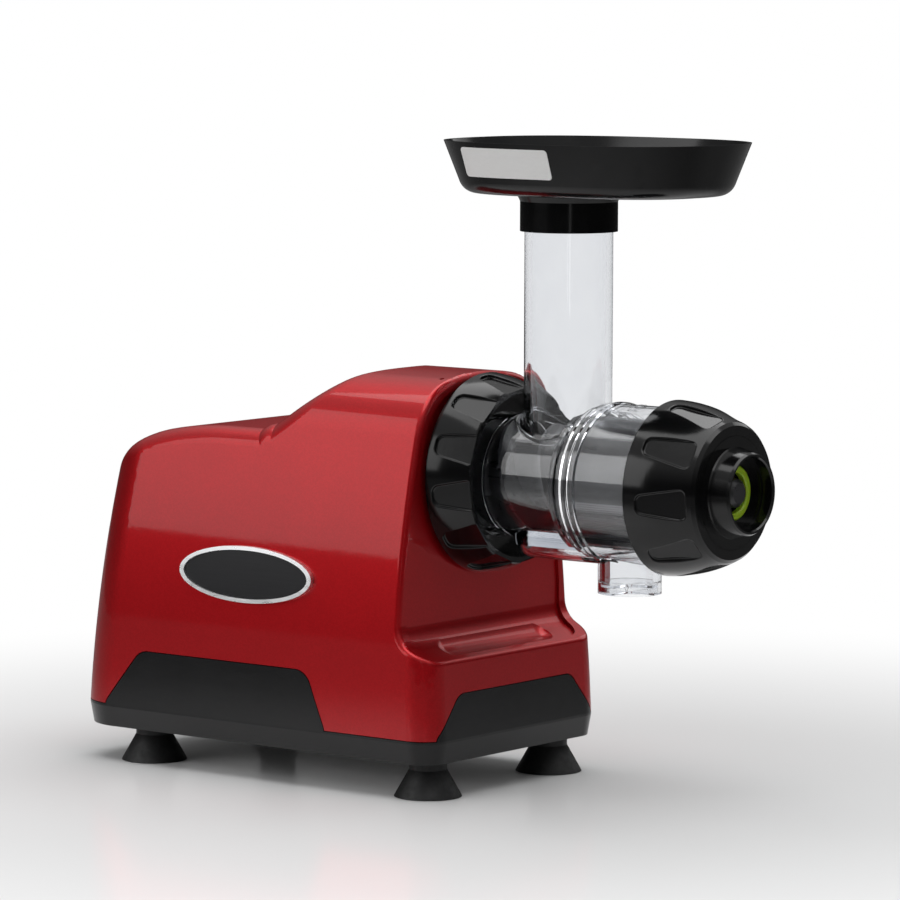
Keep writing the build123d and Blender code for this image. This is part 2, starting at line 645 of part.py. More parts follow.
def grip_cutter(x_back, x_front, back_half, front_half, skin, depth, closed):
    """Grip recess with a flat floor along the skin's slope, for cutting at the top of the axis."""
    (x_a, r_a), (x_m, r_m), (x_b, r_b) = skin
    reach = x_front if closed else x_front + 12
    widen = front_half + (0 if closed else (front_half - back_half) * 12 / (x_front - x_back))
    corners = [(x_back, -back_half), (reach, -widen), (reach, widen), (x_back, back_half)]
    pad = make_face(Polyline(*corners, close=True))
    pad = fillet([v for v in pad.vertices() if v.X < x_back + 1], 0.8 * back_half)
    if closed:
        pad = fillet([v for v in pad.vertices() if v.X > x_front - 1], 0.35 * front_half)
    prism = extrude(pad, amount=20, taper=-10)
    prism = fillet(prism.faces().sort_by(Axis.Z)[0].edges(), PAD_FLOOR_R)
    slope = degrees(atan2(r_a - r_b, x_b - x_a))
    return Pos(x_m, 0, DRIVE_Z + r_m - depth) * Rot(0, slope, 0) * Pos(-x_m, 0, 0) * prism


def around_axis(shape, angle):
    """Turn a shape from the top of the auger axis to angle, degrees from -Y towards +Z."""
    return shape.rotate(DRIVE_AXIS, 90.0 - angle)


def arc_centre(skin):
    """Centre and radius of the arc through three (x, radius) points."""
    (ax, ay), (bx, by), (cx, cy) = skin
    d = 2 * (ax * (by - cy) + bx * (cy - ay) + cx * (ay - by))
    a2, b2, c2 = ax * ax + ay * ay, bx * bx + by * by, cx * cx + cy * cy
    ux = (a2 * (by - cy) + b2 * (cy - ay) + c2 * (ay - by)) / d
    uy = (a2 * (cx - bx) + b2 * (ax - cx) + c2 * (bx - ax)) / d
    return ux, uy, hypot(ax - ux, ay - uy)


def soften_pads(shape, skin, x_low, x_high):
    """Round the edges where grip recesses break the curved skin."""
    ux, uy, radius = arc_centre(skin)

    def on_skin(point):
        r = hypot(point.Y, point.Z - DRIVE_Z)
        return abs(hypot(point.X - ux, r - uy) - radius) < 0.02

    def is_mouth(e):
        middle = e @ 0.5
        ring = abs((e @ 0).X - (e @ 0.3).X) < 1e-6 and abs(middle.X - (e @ 0).X) < 1e-6
        return x_low < middle.X < x_high and on_skin(middle) and on_skin(e @ 0.1) and not ring

    return fillet([e for e in shape.edges() if is_mouth(e)], PAD_EDGE_R)


def make_lock_ring():
    x0, x1 = RING_BACK_X, RING_FRONT_X
    web_x = SOCKET_FACE_X + 3.0
    skin = ((x0 + 1.2, RING_BACK_R), ((x0 + x1) / 2, (RING_BACK_R + RING_FRONT_R) / 2 + 0.9),
            (x1 - 0.6, RING_FRONT_R))
    cup_x = web_x + RING_WEB
    outline = [
        skin[0], skin[2], (x1, RING_FRONT_R - 0.6), (x1, RING_FRONT_R - RING_LAND),
        (cup_x, RING_FRONT_R - RING_LAND - 0.4), (cup_x, NECK_R + 0.6), (web_x, NECK_R + 0.6),
        (web_x, RING_BORE_R), (x0, RING_BORE_R), (x0, RING_BACK_R - 1.2),
    ]
    ring = curved(outline, {0: skin[1]})
    cutter = grip_cutter(x0 + 4.0, x1, 4.6, 7.6, skin, RING_PAD_DEPTH, closed=False)
    for i in range(RING_PADS):
        ring -= around_axis(cutter, RING_PAD_PHASE + 360.0 * i / RING_PADS)
    ring = soften_pads(ring, skin, x0 + 2, x1 - 0.7)
    # Bayonet tabs that pass behind the socket's lugs
    for i in range(LUG_COUNT):
        ring += sector(x0 + 0.2, RING_BACK_X + LUG_BACK - SEAT_GAP, SOCKET_R + 0.5, RING_BORE_R + 0.5,
                       90 + 360 * i / LUG_COUNT, LUG_HALF_ANGLE + 4)
    return one(ring)


def make_drum_socket():
    flange_x = FRONT_PLATE_X + PLATE + SEAT_GAP
    flange_front = FACE_X - POCKET_DEPTH - HOUSING_WALL - SEAT_GAP
    recess_x = NECK_BACK_X - SEAT_GAP
    bore_r = AUGER_HUB_R + 0.6
    socket = turned([
        (flange_x, bore_r), (flange_x, SOCKET_FLANGE_R), (flange_front, SOCKET_FLANGE_R),
        (flange_front, SOCKET_R), (SOCKET_FACE_X, SOCKET_R), (SOCKET_FACE_X, SOCKET_BORE_R),
        (recess_x, SOCKET_BORE_R), (recess_x, bore_r),
    ])
    lug_x = RING_BACK_X + LUG_BACK
    for i in range(LUG_COUNT):
        socket += sector(lug_x, lug_x + LUG_WIDTH, SOCKET_R - 0.5, RING_BORE_R - 0.5,
                         90 + 360 * i / LUG_COUNT, LUG_HALF_ANGLE)
    for y, z in socket_screw_places():
        socket -= rod(flange_x - 1, flange_front - flange_x - 0.4, SCREW_R + SHAFT_CLEARANCE, y, z)
    return one(socket)


def socket_screw_places():
    r = 26.0
    return [(r * cos(radians(a)), DRIVE_Z + r * sin(radians(a))) for a in (45, 135, 225, 315)]


def drum_back():
    """Back of the neck with the flange that the lock ring holds."""
    flange_x = SOCKET_FACE_X + SEAT_GAP
    small = NECK_R - 1.0
    return turned([
        (NECK_BACK_X, 0), (NECK_BACK_X, NECK_R), (flange_x, NECK_R), (flange_x, FLANGE_R),
        (flange_x + FLANGE, FLANGE_R), (flange_x + FLANGE, small), (NECK_STEP_X + 2, small), (NECK_STEP_X + 2, 0),
    ])


def drum_front():
    """Ring steps, screen chamber and mouth of the drum."""
    s = DRUM_STEP_X
    points = [(s, 0), (s, NECK_R - 1.0)]
    for start, end, radius in DRUM_RINGS:
        points += [(s + start, radius), (s + end, radius)]
    points += [(s + DRUM_RINGS[-1][1] + 0.6, DRUM_R), (DRUM_SHOULDER_X, DRUM_R),
               (DRUM_SHOULDER_X, DRUM_MOUTH_R), (DRUM_FRONT_X, DRUM_MOUTH_R), (DRUM_FRONT_X, 0)]
    return turned(points)


def trunk():
    """Neck and feed chute, blended where they meet."""
    chute = post(CHUTE_X, 0, DRIVE_Z, CHUTE_TOP - DRIVE_Z, CHUTE_R)
    joined = chute + rod(NECK_STEP_X, 2 * (CHUTE_X - NECK_STEP_X), NECK_R)
    seam = [e for e in joined.edges() if e.geom_type == GeomType.BSPLINE and (e @ 0.3).Z > DRIVE_Z]
    return fillet(seam, CHUTE_FLARE_R)


def pod(grow):
    """Juice channel slung under the neck, a rounded capsule seen from the side."""
    x0, x1 = POD_BACK_X - grow, SPOUT_X + 4
    z0, z1 = POD_BOTTOM - grow, POD_BOTTOM + POD_HEIGHT + grow
    half = POD_HALF_W + grow
    body = block(x0, x1, -half, half, z0, z1)
    body = fillet([e for e in body.edges().filter_by(Axis.Z) if (e @ 0.5).X < x0 + 1], half - 5)
    soft = [e for e in body.edges() if abs((e @ 0).Z - (e @ 1).Z) < 1e-6 and (e @ 0.5).X < x1 - 1]
    return fillet(soft, (z1 - z0) / 2 - 0.4)


def make_drum():
    """Clear drum with its feed chute, juice channel and spout, moulded in one."""
    drum = trunk() + drum_back() + drum_front()
    drum += pod(0)
    drum += post(SPOUT_X, 0, SPOUT_SEAM_Z, POD_BOTTOM - SPOUT_SEAM_Z + 6, SPOUT_R)
    drum += post(SPOUT_X, 0, SPOUT_BOTTOM_Z + 1.2, 10, SPOUT_SPIGOT_R)
    neck_front = DRUM_STEP_X + 2.4
    mouth_x = DRUM_SHOULDER_X - 3
    drum -= turned([
        (NECK_BACK_X + DRUM_BACK_WALL, 0), (NECK_BACK_X + DRUM_BACK_WALL, NECK_BORE_R),
        (neck_front, NECK_BORE_R), (neck_front, SCREEN_R + 4.4), (neck_front + 4.0, DRUM_BORE_R),
        (mouth_x, DRUM_BORE_R), (mouth_x + 2, DRUM_MOUTH_BORE_R),
        (DRUM_FRONT_X + 1, DRUM_MOUTH_BORE_R), (DRUM_FRONT_X + 1, 0),
    ])
    drum -= rod(NECK_BACK_X - 1, DRUM_BACK_WALL + 2, SEAL_R + SHAFT_CLEARANCE)
    floor_z = DRIVE_Z - NECK_R - 1.5
    drum -= pod(-POD_WALL) & block(0, SPOUT_X, -50, 50, 0, floor_z)
    drum -= block(DRUM_STEP_X + 6, SPOUT_X, -POD_HALF_W + 5, POD_HALF_W - 5, POD_BOTTOM + POD_WALL, floor_z + 6)
    drum -= post(SPOUT_X, 0, SPOUT_BOTTOM_Z, DRIVE_Z - SPOUT_BOTTOM_Z - 28, SPOUT_BORE_R)
    drum -= post(CHUTE_X, 0, DRIVE_Z, CHUTE_TOP - DRIVE_Z + 1, CHUTE_BORE_R)
    drum -= post(CHUTE_X, 0, DRIVE_Z, NECK_R + 2.5, CHUTE_BORE_R + CHUTE_RELIEF)
    # Half-closed gate of the drip stop
    drum += gate_sectors(SPOUT_BOTTOM_Z + 3.4, 1.2, SPOUT_BORE_R + 0.5)
    for i in range(LUG_COUNT):
        drum += sector(DRUM_LUG_X, DRUM_LUG_X + DRUM_LUG, DRUM_MOUTH_R - 0.5, DRUM_LUG_R,
                       90 + 360 * i / LUG_COUNT, 9)
    return one(drum)


def gate_sectors(z, thickness, radius):
    """Two opposite quarter discs that close half of the spout, joined by a centre post."""
    gate = post(SPOUT_X, 0, z, thickness, 1.5)
    for start in (0, 180):
        arc = [(radius * cos(radians(start + t)), radius * sin(radians(start + t))) for t in (0, 45, 90)]
        edges = [Line((0, 0), arc[0]).edge(), ThreePointArc(*arc).edge(), Line(arc[2], (0, 0)).edge()]
        gate += Pos(SPOUT_X, 0, z) * extrude(make_face(edges), amount=thickness)
    return gate


def make_spout_collar():
    low = SPOUT_BOTTOM_Z
    top = SPOUT_SEAM_Z - SEAT_GAP
    collar = post(SPOUT_X, 0, low, top - low, SPOUT_R, SPOUT_SPIGOT_R + SHAFT_CLEARANCE)
    return one(collar + gate_sectors(low, 0.9, SPOUT_R - 0.5))


# ---- Hopper -----------------------------------------------------------------

def hopper_form(grow, floor_z, rim_z):
    """Tapered oval between two heights, grown outwards by grow."""
    height = HOPPER_RIM_Z - HOPPER_FLOOR_Z
    sections = []
    for z in (floor_z, rim_z):
        lean = HOPPER_DRAFT * (HOPPER_RIM_Z - z) / height
        face = oval(HOPPER_HALF_L - lean + grow, HOPPER_HALF_W - lean + grow, HOPPER_POWER)
        sections.append(Pos(HOPPER_X, 0, z) * face)
    return loft(sections)


def make_hopper():
    outer = hopper_form(0, HOPPER_FLOOR_Z, HOPPER_RIM_Z)
    outer = fillet(outer.edges().sort_by(Axis.Z)[0:1], HOPPER_EDGE_R)
    inner = hopper_form(-HOPPER_WALL, HOPPER_FLOOR_Z + HOPPER_WALL, HOPPER_RIM_Z + 3)
    inner = fillet(inner.edges().sort_by(Axis.Z)[0:1], HOPPER_EDGE_R - HOPPER_WALL)
    tray = outer - inner
    collar_top = HOPPER_FLOOR_Z + 1
    tray += post(CHUTE_X, 0, COLLAR_BOTTOM, collar_top - COLLAR_BOTTOM, COLLAR_R)
    flare = revolve(make_face(Plane.XZ * Polyline((0, HOPPER_FLOOR_Z - 4), (COLLAR_R, HOPPER_FLOOR_Z - 4),
                                                  (COLLAR_R + 2.2, HOPPER_FLOOR_Z + 0.5),
                                                  (0, HOPPER_FLOOR_Z + 0.5), close=True)), Axis.Z)
    tray += Pos(CHUTE_X, 0, 0) * flare
    tray -= post(CHUTE_X, 0, COLLAR_BOTTOM - 1, HOPPER_RIM_Z, CHUTE_BORE_R)
    tray -= post(CHUTE_X, 0, COLLAR_BOTTOM - 1, CHUTE_TOP + SEAT_GAP - COLLAR_BOTTOM + 1,
                 CHUTE_R + SLEEVE_CLEARANCE)
    return one(tray)


def make_label():
    """Blank sticker on the hopper wall, towards the badge side."""
    glue = 0.02
    skin = hopper_form(glue + LABEL_THICKNESS, HOPPER_FLOOR_Z, HOPPER_RIM_Z)
    skin -= hopper_form(glue, HOPPER_FLOOR_Z - 1, HOPPER_RIM_Z + 1)
    outline = Pos(CHUTE_X + 1, HOPPER_RIM_Z - 9.8) * Rectangle(57, 14.6)
    outline = fillet(outline.vertices(), 2.0)
    patch = extrude(Plane.XZ * outline, amount=2 * HOPPER_HALF_W)
    return one(skin & patch)


# ---- Cap, nozzle, auger, screen ---------------------------------------------

def make_end_cap():
    nose = 1.6
    skin = ((CAP_BACK_X + 0.8, CAP_BACK_R), (CAP_BULGE_X, CAP_BULGE_R), (CAP_FACE_X - nose, CAP_FACE_R))
    inner_front = CAP_FACE_X - CAP_WALL - NOZZLE_FLANGE
    lug_bore = DRUM_LUG_R + SEAT_GAP
    lug_front = DRUM_LUG_X + DRUM_LUG + SEAT_GAP + 0.4
    drum_front = DRUM_FRONT_X + SEAT_GAP
    seat_x = CAP_FACE_X - NOZZLE_FLANGE
    outline = [
        skin[0], skin[2], (CAP_FACE_X, CAP_FACE_R - nose), (CAP_FACE_X, NOZZLE_FLANGE_R + 0.2),
        (seat_x, NOZZLE_FLANGE_R + 0.2), (seat_x, NOZZLE_SHANK_R + 0.1), (inner_front, NOZZLE_SHANK_R + 0.1),
        (inner_front, 28.5), (drum_front, DRUM_MOUTH_R - 2), (drum_front, DRUM_MOUTH_R + SEAT_GAP),
        (lug_front, DRUM_MOUTH_R + SEAT_GAP), (lug_front, lug_bore), (DRUM_SHOULDER_X + 0.6, lug_bore),
        (DRUM_SHOULDER_X + 0.6, DRUM_R + 0.4), (CAP_BACK_X, DRUM_R + 0.4), (CAP_BACK_X, CAP_BACK_R - 0.8),
    ]
    cap = curved(outline, {0: skin[1]})
    cutter = grip_cutter(CAP_BACK_X + 7.0, CAP_FACE_X - 3.5, 4.2, 7.8, skin, CAP_PAD_DEPTH, closed=True)
    for i in range(CAP_PADS):
        cap -= around_axis(cutter, CAP_PAD_PHASE + 360.0 * i / CAP_PADS)
    cap = soften_pads(cap, skin, CAP_BACK_X + 3, CAP_FACE_X - nose - 0.2)
    tab_x = DRUM_LUG_X - SEAT_GAP - CAP_TAB
    for i in range(LUG_COUNT):
        cap += sector(tab_x, tab_x + CAP_TAB, DRUM_MOUTH_R + SEAT_GAP, lug_bore + 0.3, 90 + 360 * i / LUG_COUNT, 12)
    return one(cap)


def make_outlet_nozzle():
    face_x = CAP_FACE_X
    floor_x = OUTLET_RING_X + OUTLET_RING
    return one(turned([
        (NOZZLE_BACK_X, OUTLET_R + 0.6), (NOZZLE_BACK_X, NOZZLE_SHANK_R),
        (face_x - NOZZLE_FLANGE + 0.1, NOZZLE_SHANK_R), (face_x - NOZZLE_FLANGE + 0.1, NOZZLE_FLANGE_R),
        (face_x + 0.1, NOZZLE_FLANGE_R), (face_x + 0.1, NOZZLE_BOSS_R), (face_x + 1.0, NOZZLE_BOSS_R - 0.3),
        (NOZZLE_RIM_X - 1.2, NOZZLE_RIM_R + 0.1), (NOZZLE_RIM_X, NOZZLE_RIM_R - 0.7),
        (NOZZLE_RIM_X, NOZZLE_MOUTH_R + 0.6), (NOZZLE_RIM_X - 0.8, NOZZLE_MOUTH_R),
        (floor_x + NOZZLE_STEP, NOZZLE_MOUTH_R), (floor_x + NOZZLE_STEP, NOZZLE_STEP_R), (floor_x, NOZZLE_STEP_R),
        (floor_x, OUTLET_RING_R + 0.1), (OUTLET_RING_X, OUTLET_RING_R + 0.1), (OUTLET_RING_X, OUTLET_R + 0.6),
    ]))


def make_outlet_seal():
    return one(turned([
        (OUTLET_RING_X + 0.1, OUTLET_R), (OUTLET_RING_X + 0.1, OUTLET_RING_R),
        (OUTLET_RING_X + OUTLET_RING, OUTLET_RING_R), (OUTLET_RING_X + OUTLET_RING + 0.6, OUTLET_RING_R - 0.8),
        (OUTLET_RING_X + OUTLET_RING + 0.6, OUTLET_R + 0.6), (OUTLET_RING_X + OUTLET_RING, OUTLET_R),
    ]))


def hex_bar(x, length, clearance=0.0):
    outline = RegularPolygon(HEX_AF / 2 + clearance, 6, major_radius=False)
    return Pos(x, 0, DRIVE_Z) * extrude(Plane.YZ * outline, amount=length)


def make_auger():
    """Auger core with a hub, two helical flights and a long blunt tip."""
    hub_x = DRIVE_FRONT_X + 0.5
    core = turned([
        (hub_x, 0), (hub_x, AUGER_HUB_R), (AUGER_BACK_X, AUGER_HUB_R), (AUGER_BACK_X, AUGER_R),
        (AUGER_BACK_X + 3, AUGER_R), (AUGER_BACK_X + 8, AUGER_CORE_R), (DRUM_STEP_X, AUGER_CORE_R + 2),
        (AUGER_FRONT_X - 14, AUGER_R - 3.6), (AUGER_FRONT_X, AUGER_R - 6), (AUGER_FRONT_X + 5, AUGER_TIP_R + 3),
        (AUGER_TIP_X - 8, AUGER_TIP_R + 0.6), (AUGER_TIP_X - 1.5, AUGER_TIP_R - 0.2),
        (AUGER_TIP_X, AUGER_TIP_R - 2), (AUGER_TIP_X, 0),
    ])
    core -= hex_bar(HEX_BACK_X, HEX_FRONT_X - HEX_BACK_X + SEAT_GAP, SHAFT_CLEARANCE)
    start_x = AUGER_BACK_X + 1
    length = AUGER_FRONT_X - start_x
    blades = Circle(AUGER_R) & (Rectangle(2 * AUGER_R, 2 * FLIGHT))
    blades -= Circle(FLIGHT_ROOT_R)
    place = Plane(origin=(start_x, 0, DRIVE_Z), x_dir=(0, 1, 0), z_dir=(1, 0, 0))
    auger = core
    for face in (place * blades).faces():
        auger += Solid.extrude_linear_with_rotation(
            face, (start_x, 0, DRIVE_Z), (length, 0, 0), 360 * AUGER_TURNS)
    return one(auger)


def make_screen():
    x0, x1 = SCREEN_BACK_X, SCREEN_FRONT_X
    r = SCREEN_R
    mesh = rod(x0 + 0.2, x1 - x0 - 0.4, r + SCREEN_THICKNESS, bore=r)
    r_in = r + SCREEN_THICKNESS + 0.05
    frame = rod(x0, x1 - x0, r_in + FRAME_BAR, bore=r_in)
    window_r = r_in + FRAME_BAR + 1
    for i in range(9):
        middle = -162 + 18 * i
        frame -= sector(x0 + 5, x1 - 12, r_in - 1, window_r, middle, 6.5)
    frame += rod(x1 - 5, 5, DRUM_MOUTH_BORE_R - SEAT_GAP, bore=r_in)
    return one(frame), one(mesh)


# ---- Gears ------------------------------------------------------------------

def idler_place():
    """Centre of the idler: its two mesh distances from motor and output."""
    a = MODULE_FAST * (MOTOR_TEETH + IDLER_TEETH) / 2
    b = MODULE_SLOW * (IDLER_PINION_TEETH + OUTPUT_TEETH) / 2
    d = DRIVE_Z - MOTOR_Z
    up = (a * a - b * b + d * d) / (2 * d)
    return sqrt(a * a - up * up), MOTOR_Z + up


def involute(angle):
    return tan(angle) - angle


def gear_face(teeth, module, tooth_angle):
    """Involute spur gear outline; one tooth points at tooth_angle in radians from +Y."""
    pressure = radians(PRESSURE_ANGLE)
    pitch_r = module * teeth / 2
    base_r = pitch_r * cos(pressure)
    tip_r = pitch_r + 0.9 * module
    root_r = pitch_r - 1.15 * module
    half_at_pitch = (pi / 2 - BACKLASH / module / 2) / teeth

    def half_angle(r):
        at = acos(min(1.0, base_r / max(r, base_r)))
        return half_at_pitch + involute(pressure) - involute(at)

    radii = [max(base_r, root_r) + (tip_r - max(base_r, root_r)) * k / 3 for k in range(4)]
    if root_r < base_r:
        radii = [root_r] + radii
    points = []
    for i in range(teeth):
        middle = tooth_angle + 2 * pi * i / teeth
        flank = [(r, -half_angle(r)) for r in radii] + [(r, half_angle(r)) for r in reversed(radii)]
        points += [(r * cos(middle + a), r * sin(middle + a)) for r, a in flank]
    return make_face(Polyline(*points, close=True))


def make_gear(teeth, module, tooth_angle, x, width, y, z, bore):
    gear = Pos(x, y, z) * extrude(Plane.YZ * gear_face(teeth, module, tooth_angle), amount=width)
    return one(gear - rod(x - 1, width + 2, bore, y, z))


def aim(y0, z0, y1, z1):
    """Angle from +Y towards +Z of the line from one centre to another."""
    length = hypot(y1 - y0, z1 - z0)
    angle = acos((y1 - y0) / length)
    return angle if z1 >= z0 else -angle


# ---- Build ------------------------------------------------------------------

def build_housing():
    outer_walls = walls_form(0, 0)
    sharp = fillet(roof_edges(outer_walls, 0), ROOF_EDGE_R)
    outer = one(sharp)
    front_edges = [e for e in outer.edges() if on_front_outline(e)]
    outer = one(fillet(front_edges, FACE_EDGE_R))
    inner = housing_form(HOUSING_WALL, HOUSING_WALL + POCKET_DEPTH)
    save(make_body_shell(outer, inner), "body_shell")
    save(make_base_tray(outer_walls), "base_tray")


def on_front_outline(e):
    """Edges round the front face, down the sides of the ledge and along its front."""
    middle = e @ 0.5
    if middle.Z < LEDGE_FRONT_Z - 1.5 or middle.X < FACE_X - 0.5:
        return False
    across = abs(middle.Y) < 1e-3
    if across and middle.Z < LEDGE_BACK_Z + 30:
        return middle.Z < LEDGE_FRONT_Z + 0.5
    return not (across and e.geom_type == GeomType.LINE)


def build_fittings():
    names = ("foot_front_near", "foot_front_far", "foot_rear_near", "foot_rear_far")
    for name, (x, y) in zip(names, foot_places()):
        save(make_foot(x, y), name)
    foot_length = SKIRT_BOTTOM + BASE_FLOOR + FOOT_BOSS - 2 - FOOT_SEAT_Z
    screws = [make_screw(x, y, FOOT_SEAT_Z - SCREW_HEAD, foot_length) for x, y in foot_places()]
    save(Compound([one(screw) for screw in screws]), "foot_screws")
    head_z = SKIRT_BOTTOM + SCREW_SINK
    long_length = HOUSING_BOSS_TOP - 12 - head_z
    screws = [make_screw(x, y, head_z, long_length) for x, y in housing_screw_places()]
    save(Compound([one(screw) for screw in screws]), "housing_screws")
    bezel, plate = make_badge()
    save(bezel, "badge_bezel")
    save(plate, "badge_plate")
    switch_bezel, switch_body = make_switch()
    save(switch_bezel, "switch_bezel")
    save(switch_body, "switch_body")
    save(make_rocker(), "switch_rocker")
    inlet, pins = make_inlet()
    save(inlet, "power_inlet")
    save(pins, "inlet_pins")


def build_juicing_head():
    save(make_drum_socket(), "drum_socket")
    screws = [rod(FRONT_PLATE_X, 10.5, SCREW_R, y, z) + rod(FRONT_PLATE_X - SCREW_HEAD, SCREW_HEAD, SCREW_HEAD_R, y, z)
              for y, z in socket_screw_places()]
    save(Compound([one(screw) for screw in screws]), "socket_screws")
    save(make_lock_ring(), "lock_ring")
    save(make_drum(), "drum")
    save(rod(NECK_BACK_X + 0.3, 3.4, SEAL_R, bore=AUGER_HUB_R + SHAFT_CLEARANCE), "drum_seal")
    save(make_spout_collar(), "spout_collar")
    save(make_hopper(), "hopper")
    save(make_label(), "hopper_label")
    save(make_end_cap(), "end_cap")
    save(make_outlet_nozzle(), "outlet_nozzle")
    save(make_outlet_seal(), "outlet_seal")
    save(make_auger(), "auger")
    save(hex_bar(HEX_BACK_X, HEX_FRONT_X - HEX_BACK_X), "auger_shaft")
    frame, mesh = make_screen()
    save(frame, "screen_frame")
    save(mesh, "screen_mesh")


def build_gearbox():
    idler_y, idler_z = idler_place()
    to_idler = aim(0, MOTOR_Z, idler_y, idler_z)
    from_output = aim(0, DRIVE_Z, idler_y, idler_z)
    half_idler = pi / IDLER_TEETH
    half_output = pi / OUTPUT_TEETH
    save(make_gear(MOTOR_TEETH, MODULE_FAST, to_idler, FAST_X - 1, FAST_WIDTH + 2, 0, MOTOR_Z, MOTOR_SHAFT_R),
         "motor_pinion")
    idler = make_gear(IDLER_TEETH, MODULE_FAST, to_idler + pi + half_idler, FAST_X, FAST_WIDTH,
                      idler_y, idler_z, IDLER_SHAFT_R)
    save(idler, "idler_gear")
    save(make_gear(IDLER_PINION_TEETH, MODULE_SLOW, from_output + pi, SLOW_X - 2, SLOW_WIDTH + 4,
                   idler_y, idler_z, IDLER_SHAFT_R), "idler_pinion")
    output = make_gear(OUTPUT_TEETH, MODULE_SLOW, from_output + half_output, SLOW_X, SLOW_WIDTH,
                       0, DRIVE_Z, SPINDLE_R)
    for k in range(6):
        a = 2 * pi * k / 6
        output -= rod(SLOW_X - 1, SLOW_WIDTH + 2, 6.0, 21 * cos(a), DRIVE_Z + 21 * sin(a))
    save(one(output), "output_gear")
    save(rod(REAR_PLATE_X, FRONT_PLATE_X + PLATE - REAR_PLATE_X, IDLER_SHAFT_R, idler_y, idler_z), "idler_shaft")
    step_x = FRONT_PLATE_X - 6
    spindle = turned([(REAR_PLATE_X, 0), (REAR_PLATE_X, SPINDLE_R), (step_x, SPINDLE_R),
                      (step_x, SPINDLE_FRONT_R), (DRIVE_FRONT_X, SPINDLE_FRONT_R), (DRIVE_FRONT_X, 0)])
    spindle -= hex_bar(HEX_BACK_X - SEAT_GAP, DRIVE_FRONT_X - HEX_BACK_X + 1, SHAFT_CLEARANCE)
    save(one(spindle), "drive_spindle")

    bushes = []
    for plate_x, output_r in ((REAR_PLATE_X, SPINDLE_R), (FRONT_PLATE_X, SPINDLE_FRONT_R)):
        bushes.append(rod(plate_x, PLATE, output_r + BUSH_WALL, bore=output_r + SHAFT_CLEARANCE))
        bushes.append(rod(plate_x, PLATE, IDLER_SHAFT_R + BUSH_WALL, idler_y, idler_z,
                          IDLER_SHAFT_R + SHAFT_CLEARANCE))
    save(Compound([one(b) for b in bushes]), "gear_bushes")

    for name, x, output_r, lobe in (("gear_plate_rear", REAR_PLATE_X, SPINDLE_R, 20.0),
                                    ("gear_plate_front", FRONT_PLATE_X, SPINDLE_FRONT_R, 42.0)):
        outline = Pos(0, (PLATE_FOOT_Z + PLATE_TOP_Z) / 2) * Rectangle(2 * PLATE_HALF_W, PLATE_TOP_Z - PLATE_FOOT_Z)
        outline = fillet([v for v in outline.vertices() if v.Y > DRIVE_Z - 20], 10.0)
        outline += Pos(0, DRIVE_Z) * Circle(lobe)
        plate = Pos(x, 0, 0) * extrude(Plane.YZ * outline, amount=PLATE)
        plate -= rod(x - 1, PLATE + 2, output_r + BUSH_WALL)
        plate -= rod(x - 1, PLATE + 2, IDLER_SHAFT_R + BUSH_WALL, idler_y, idler_z)
        for y, z in POSTS:
            plate -= rod(x - 1, PLATE + 2, BOLT_R + SHAFT_CLEARANCE, y, z)
        if x == REAR_PLATE_X:
            plate -= rod(x - 1, PLATE + 2, MOTOR_SHAFT_R + 6, 0, MOTOR_Z)
            for y, z in motor_bolt_places():
                plate -= rod(x - 1, PLATE + 2, BOLT_R + SHAFT_CLEARANCE, y, z)
        else:
            for y, z in socket_screw_places():
                plate -= rod(x - 1, PLATE + 2, SCREW_R + SHAFT_CLEARANCE, y, z)
        save(one(plate), name)
    gap = FRONT_PLATE_X - REAR_PLATE_X - PLATE
    posts = [rod(REAR_PLATE_X + PLATE, gap, POST_R, y, z, BOLT_R + SHAFT_CLEARANCE) for y, z in POSTS]
    save(Compound([one(p) for p in posts]), "plate_posts")
    bolt_length = FRONT_PLATE_X + PLATE - REAR_PLATE_X
    bolts = [rod(REAR_PLATE_X, bolt_length, BOLT_R, y, z) + rod(REAR_PLATE_X - 2.5, 2.5, BOLT_R + 1.8, y, z)
             for y, z in POSTS]
    save(Compound([one(b) for b in bolts]), "plate_bolts")


def motor_bolt_places():
    return [(sy * BOLT_OFFSET, MOTOR_Z + sz * BOLT_OFFSET) for sy in (-1, 1) for sz in (-1, 1)]


def motor_square(x, length, half, corner, bore):
    outline = fillet(Rectangle(2 * half, 2 * half).vertices(), corner)
    plate = Pos(x, 0, MOTOR_Z) * extrude(Plane.YZ * outline, amount=length)
    return plate - rod(x - 1, length + 2, bore, 0, MOTOR_Z)


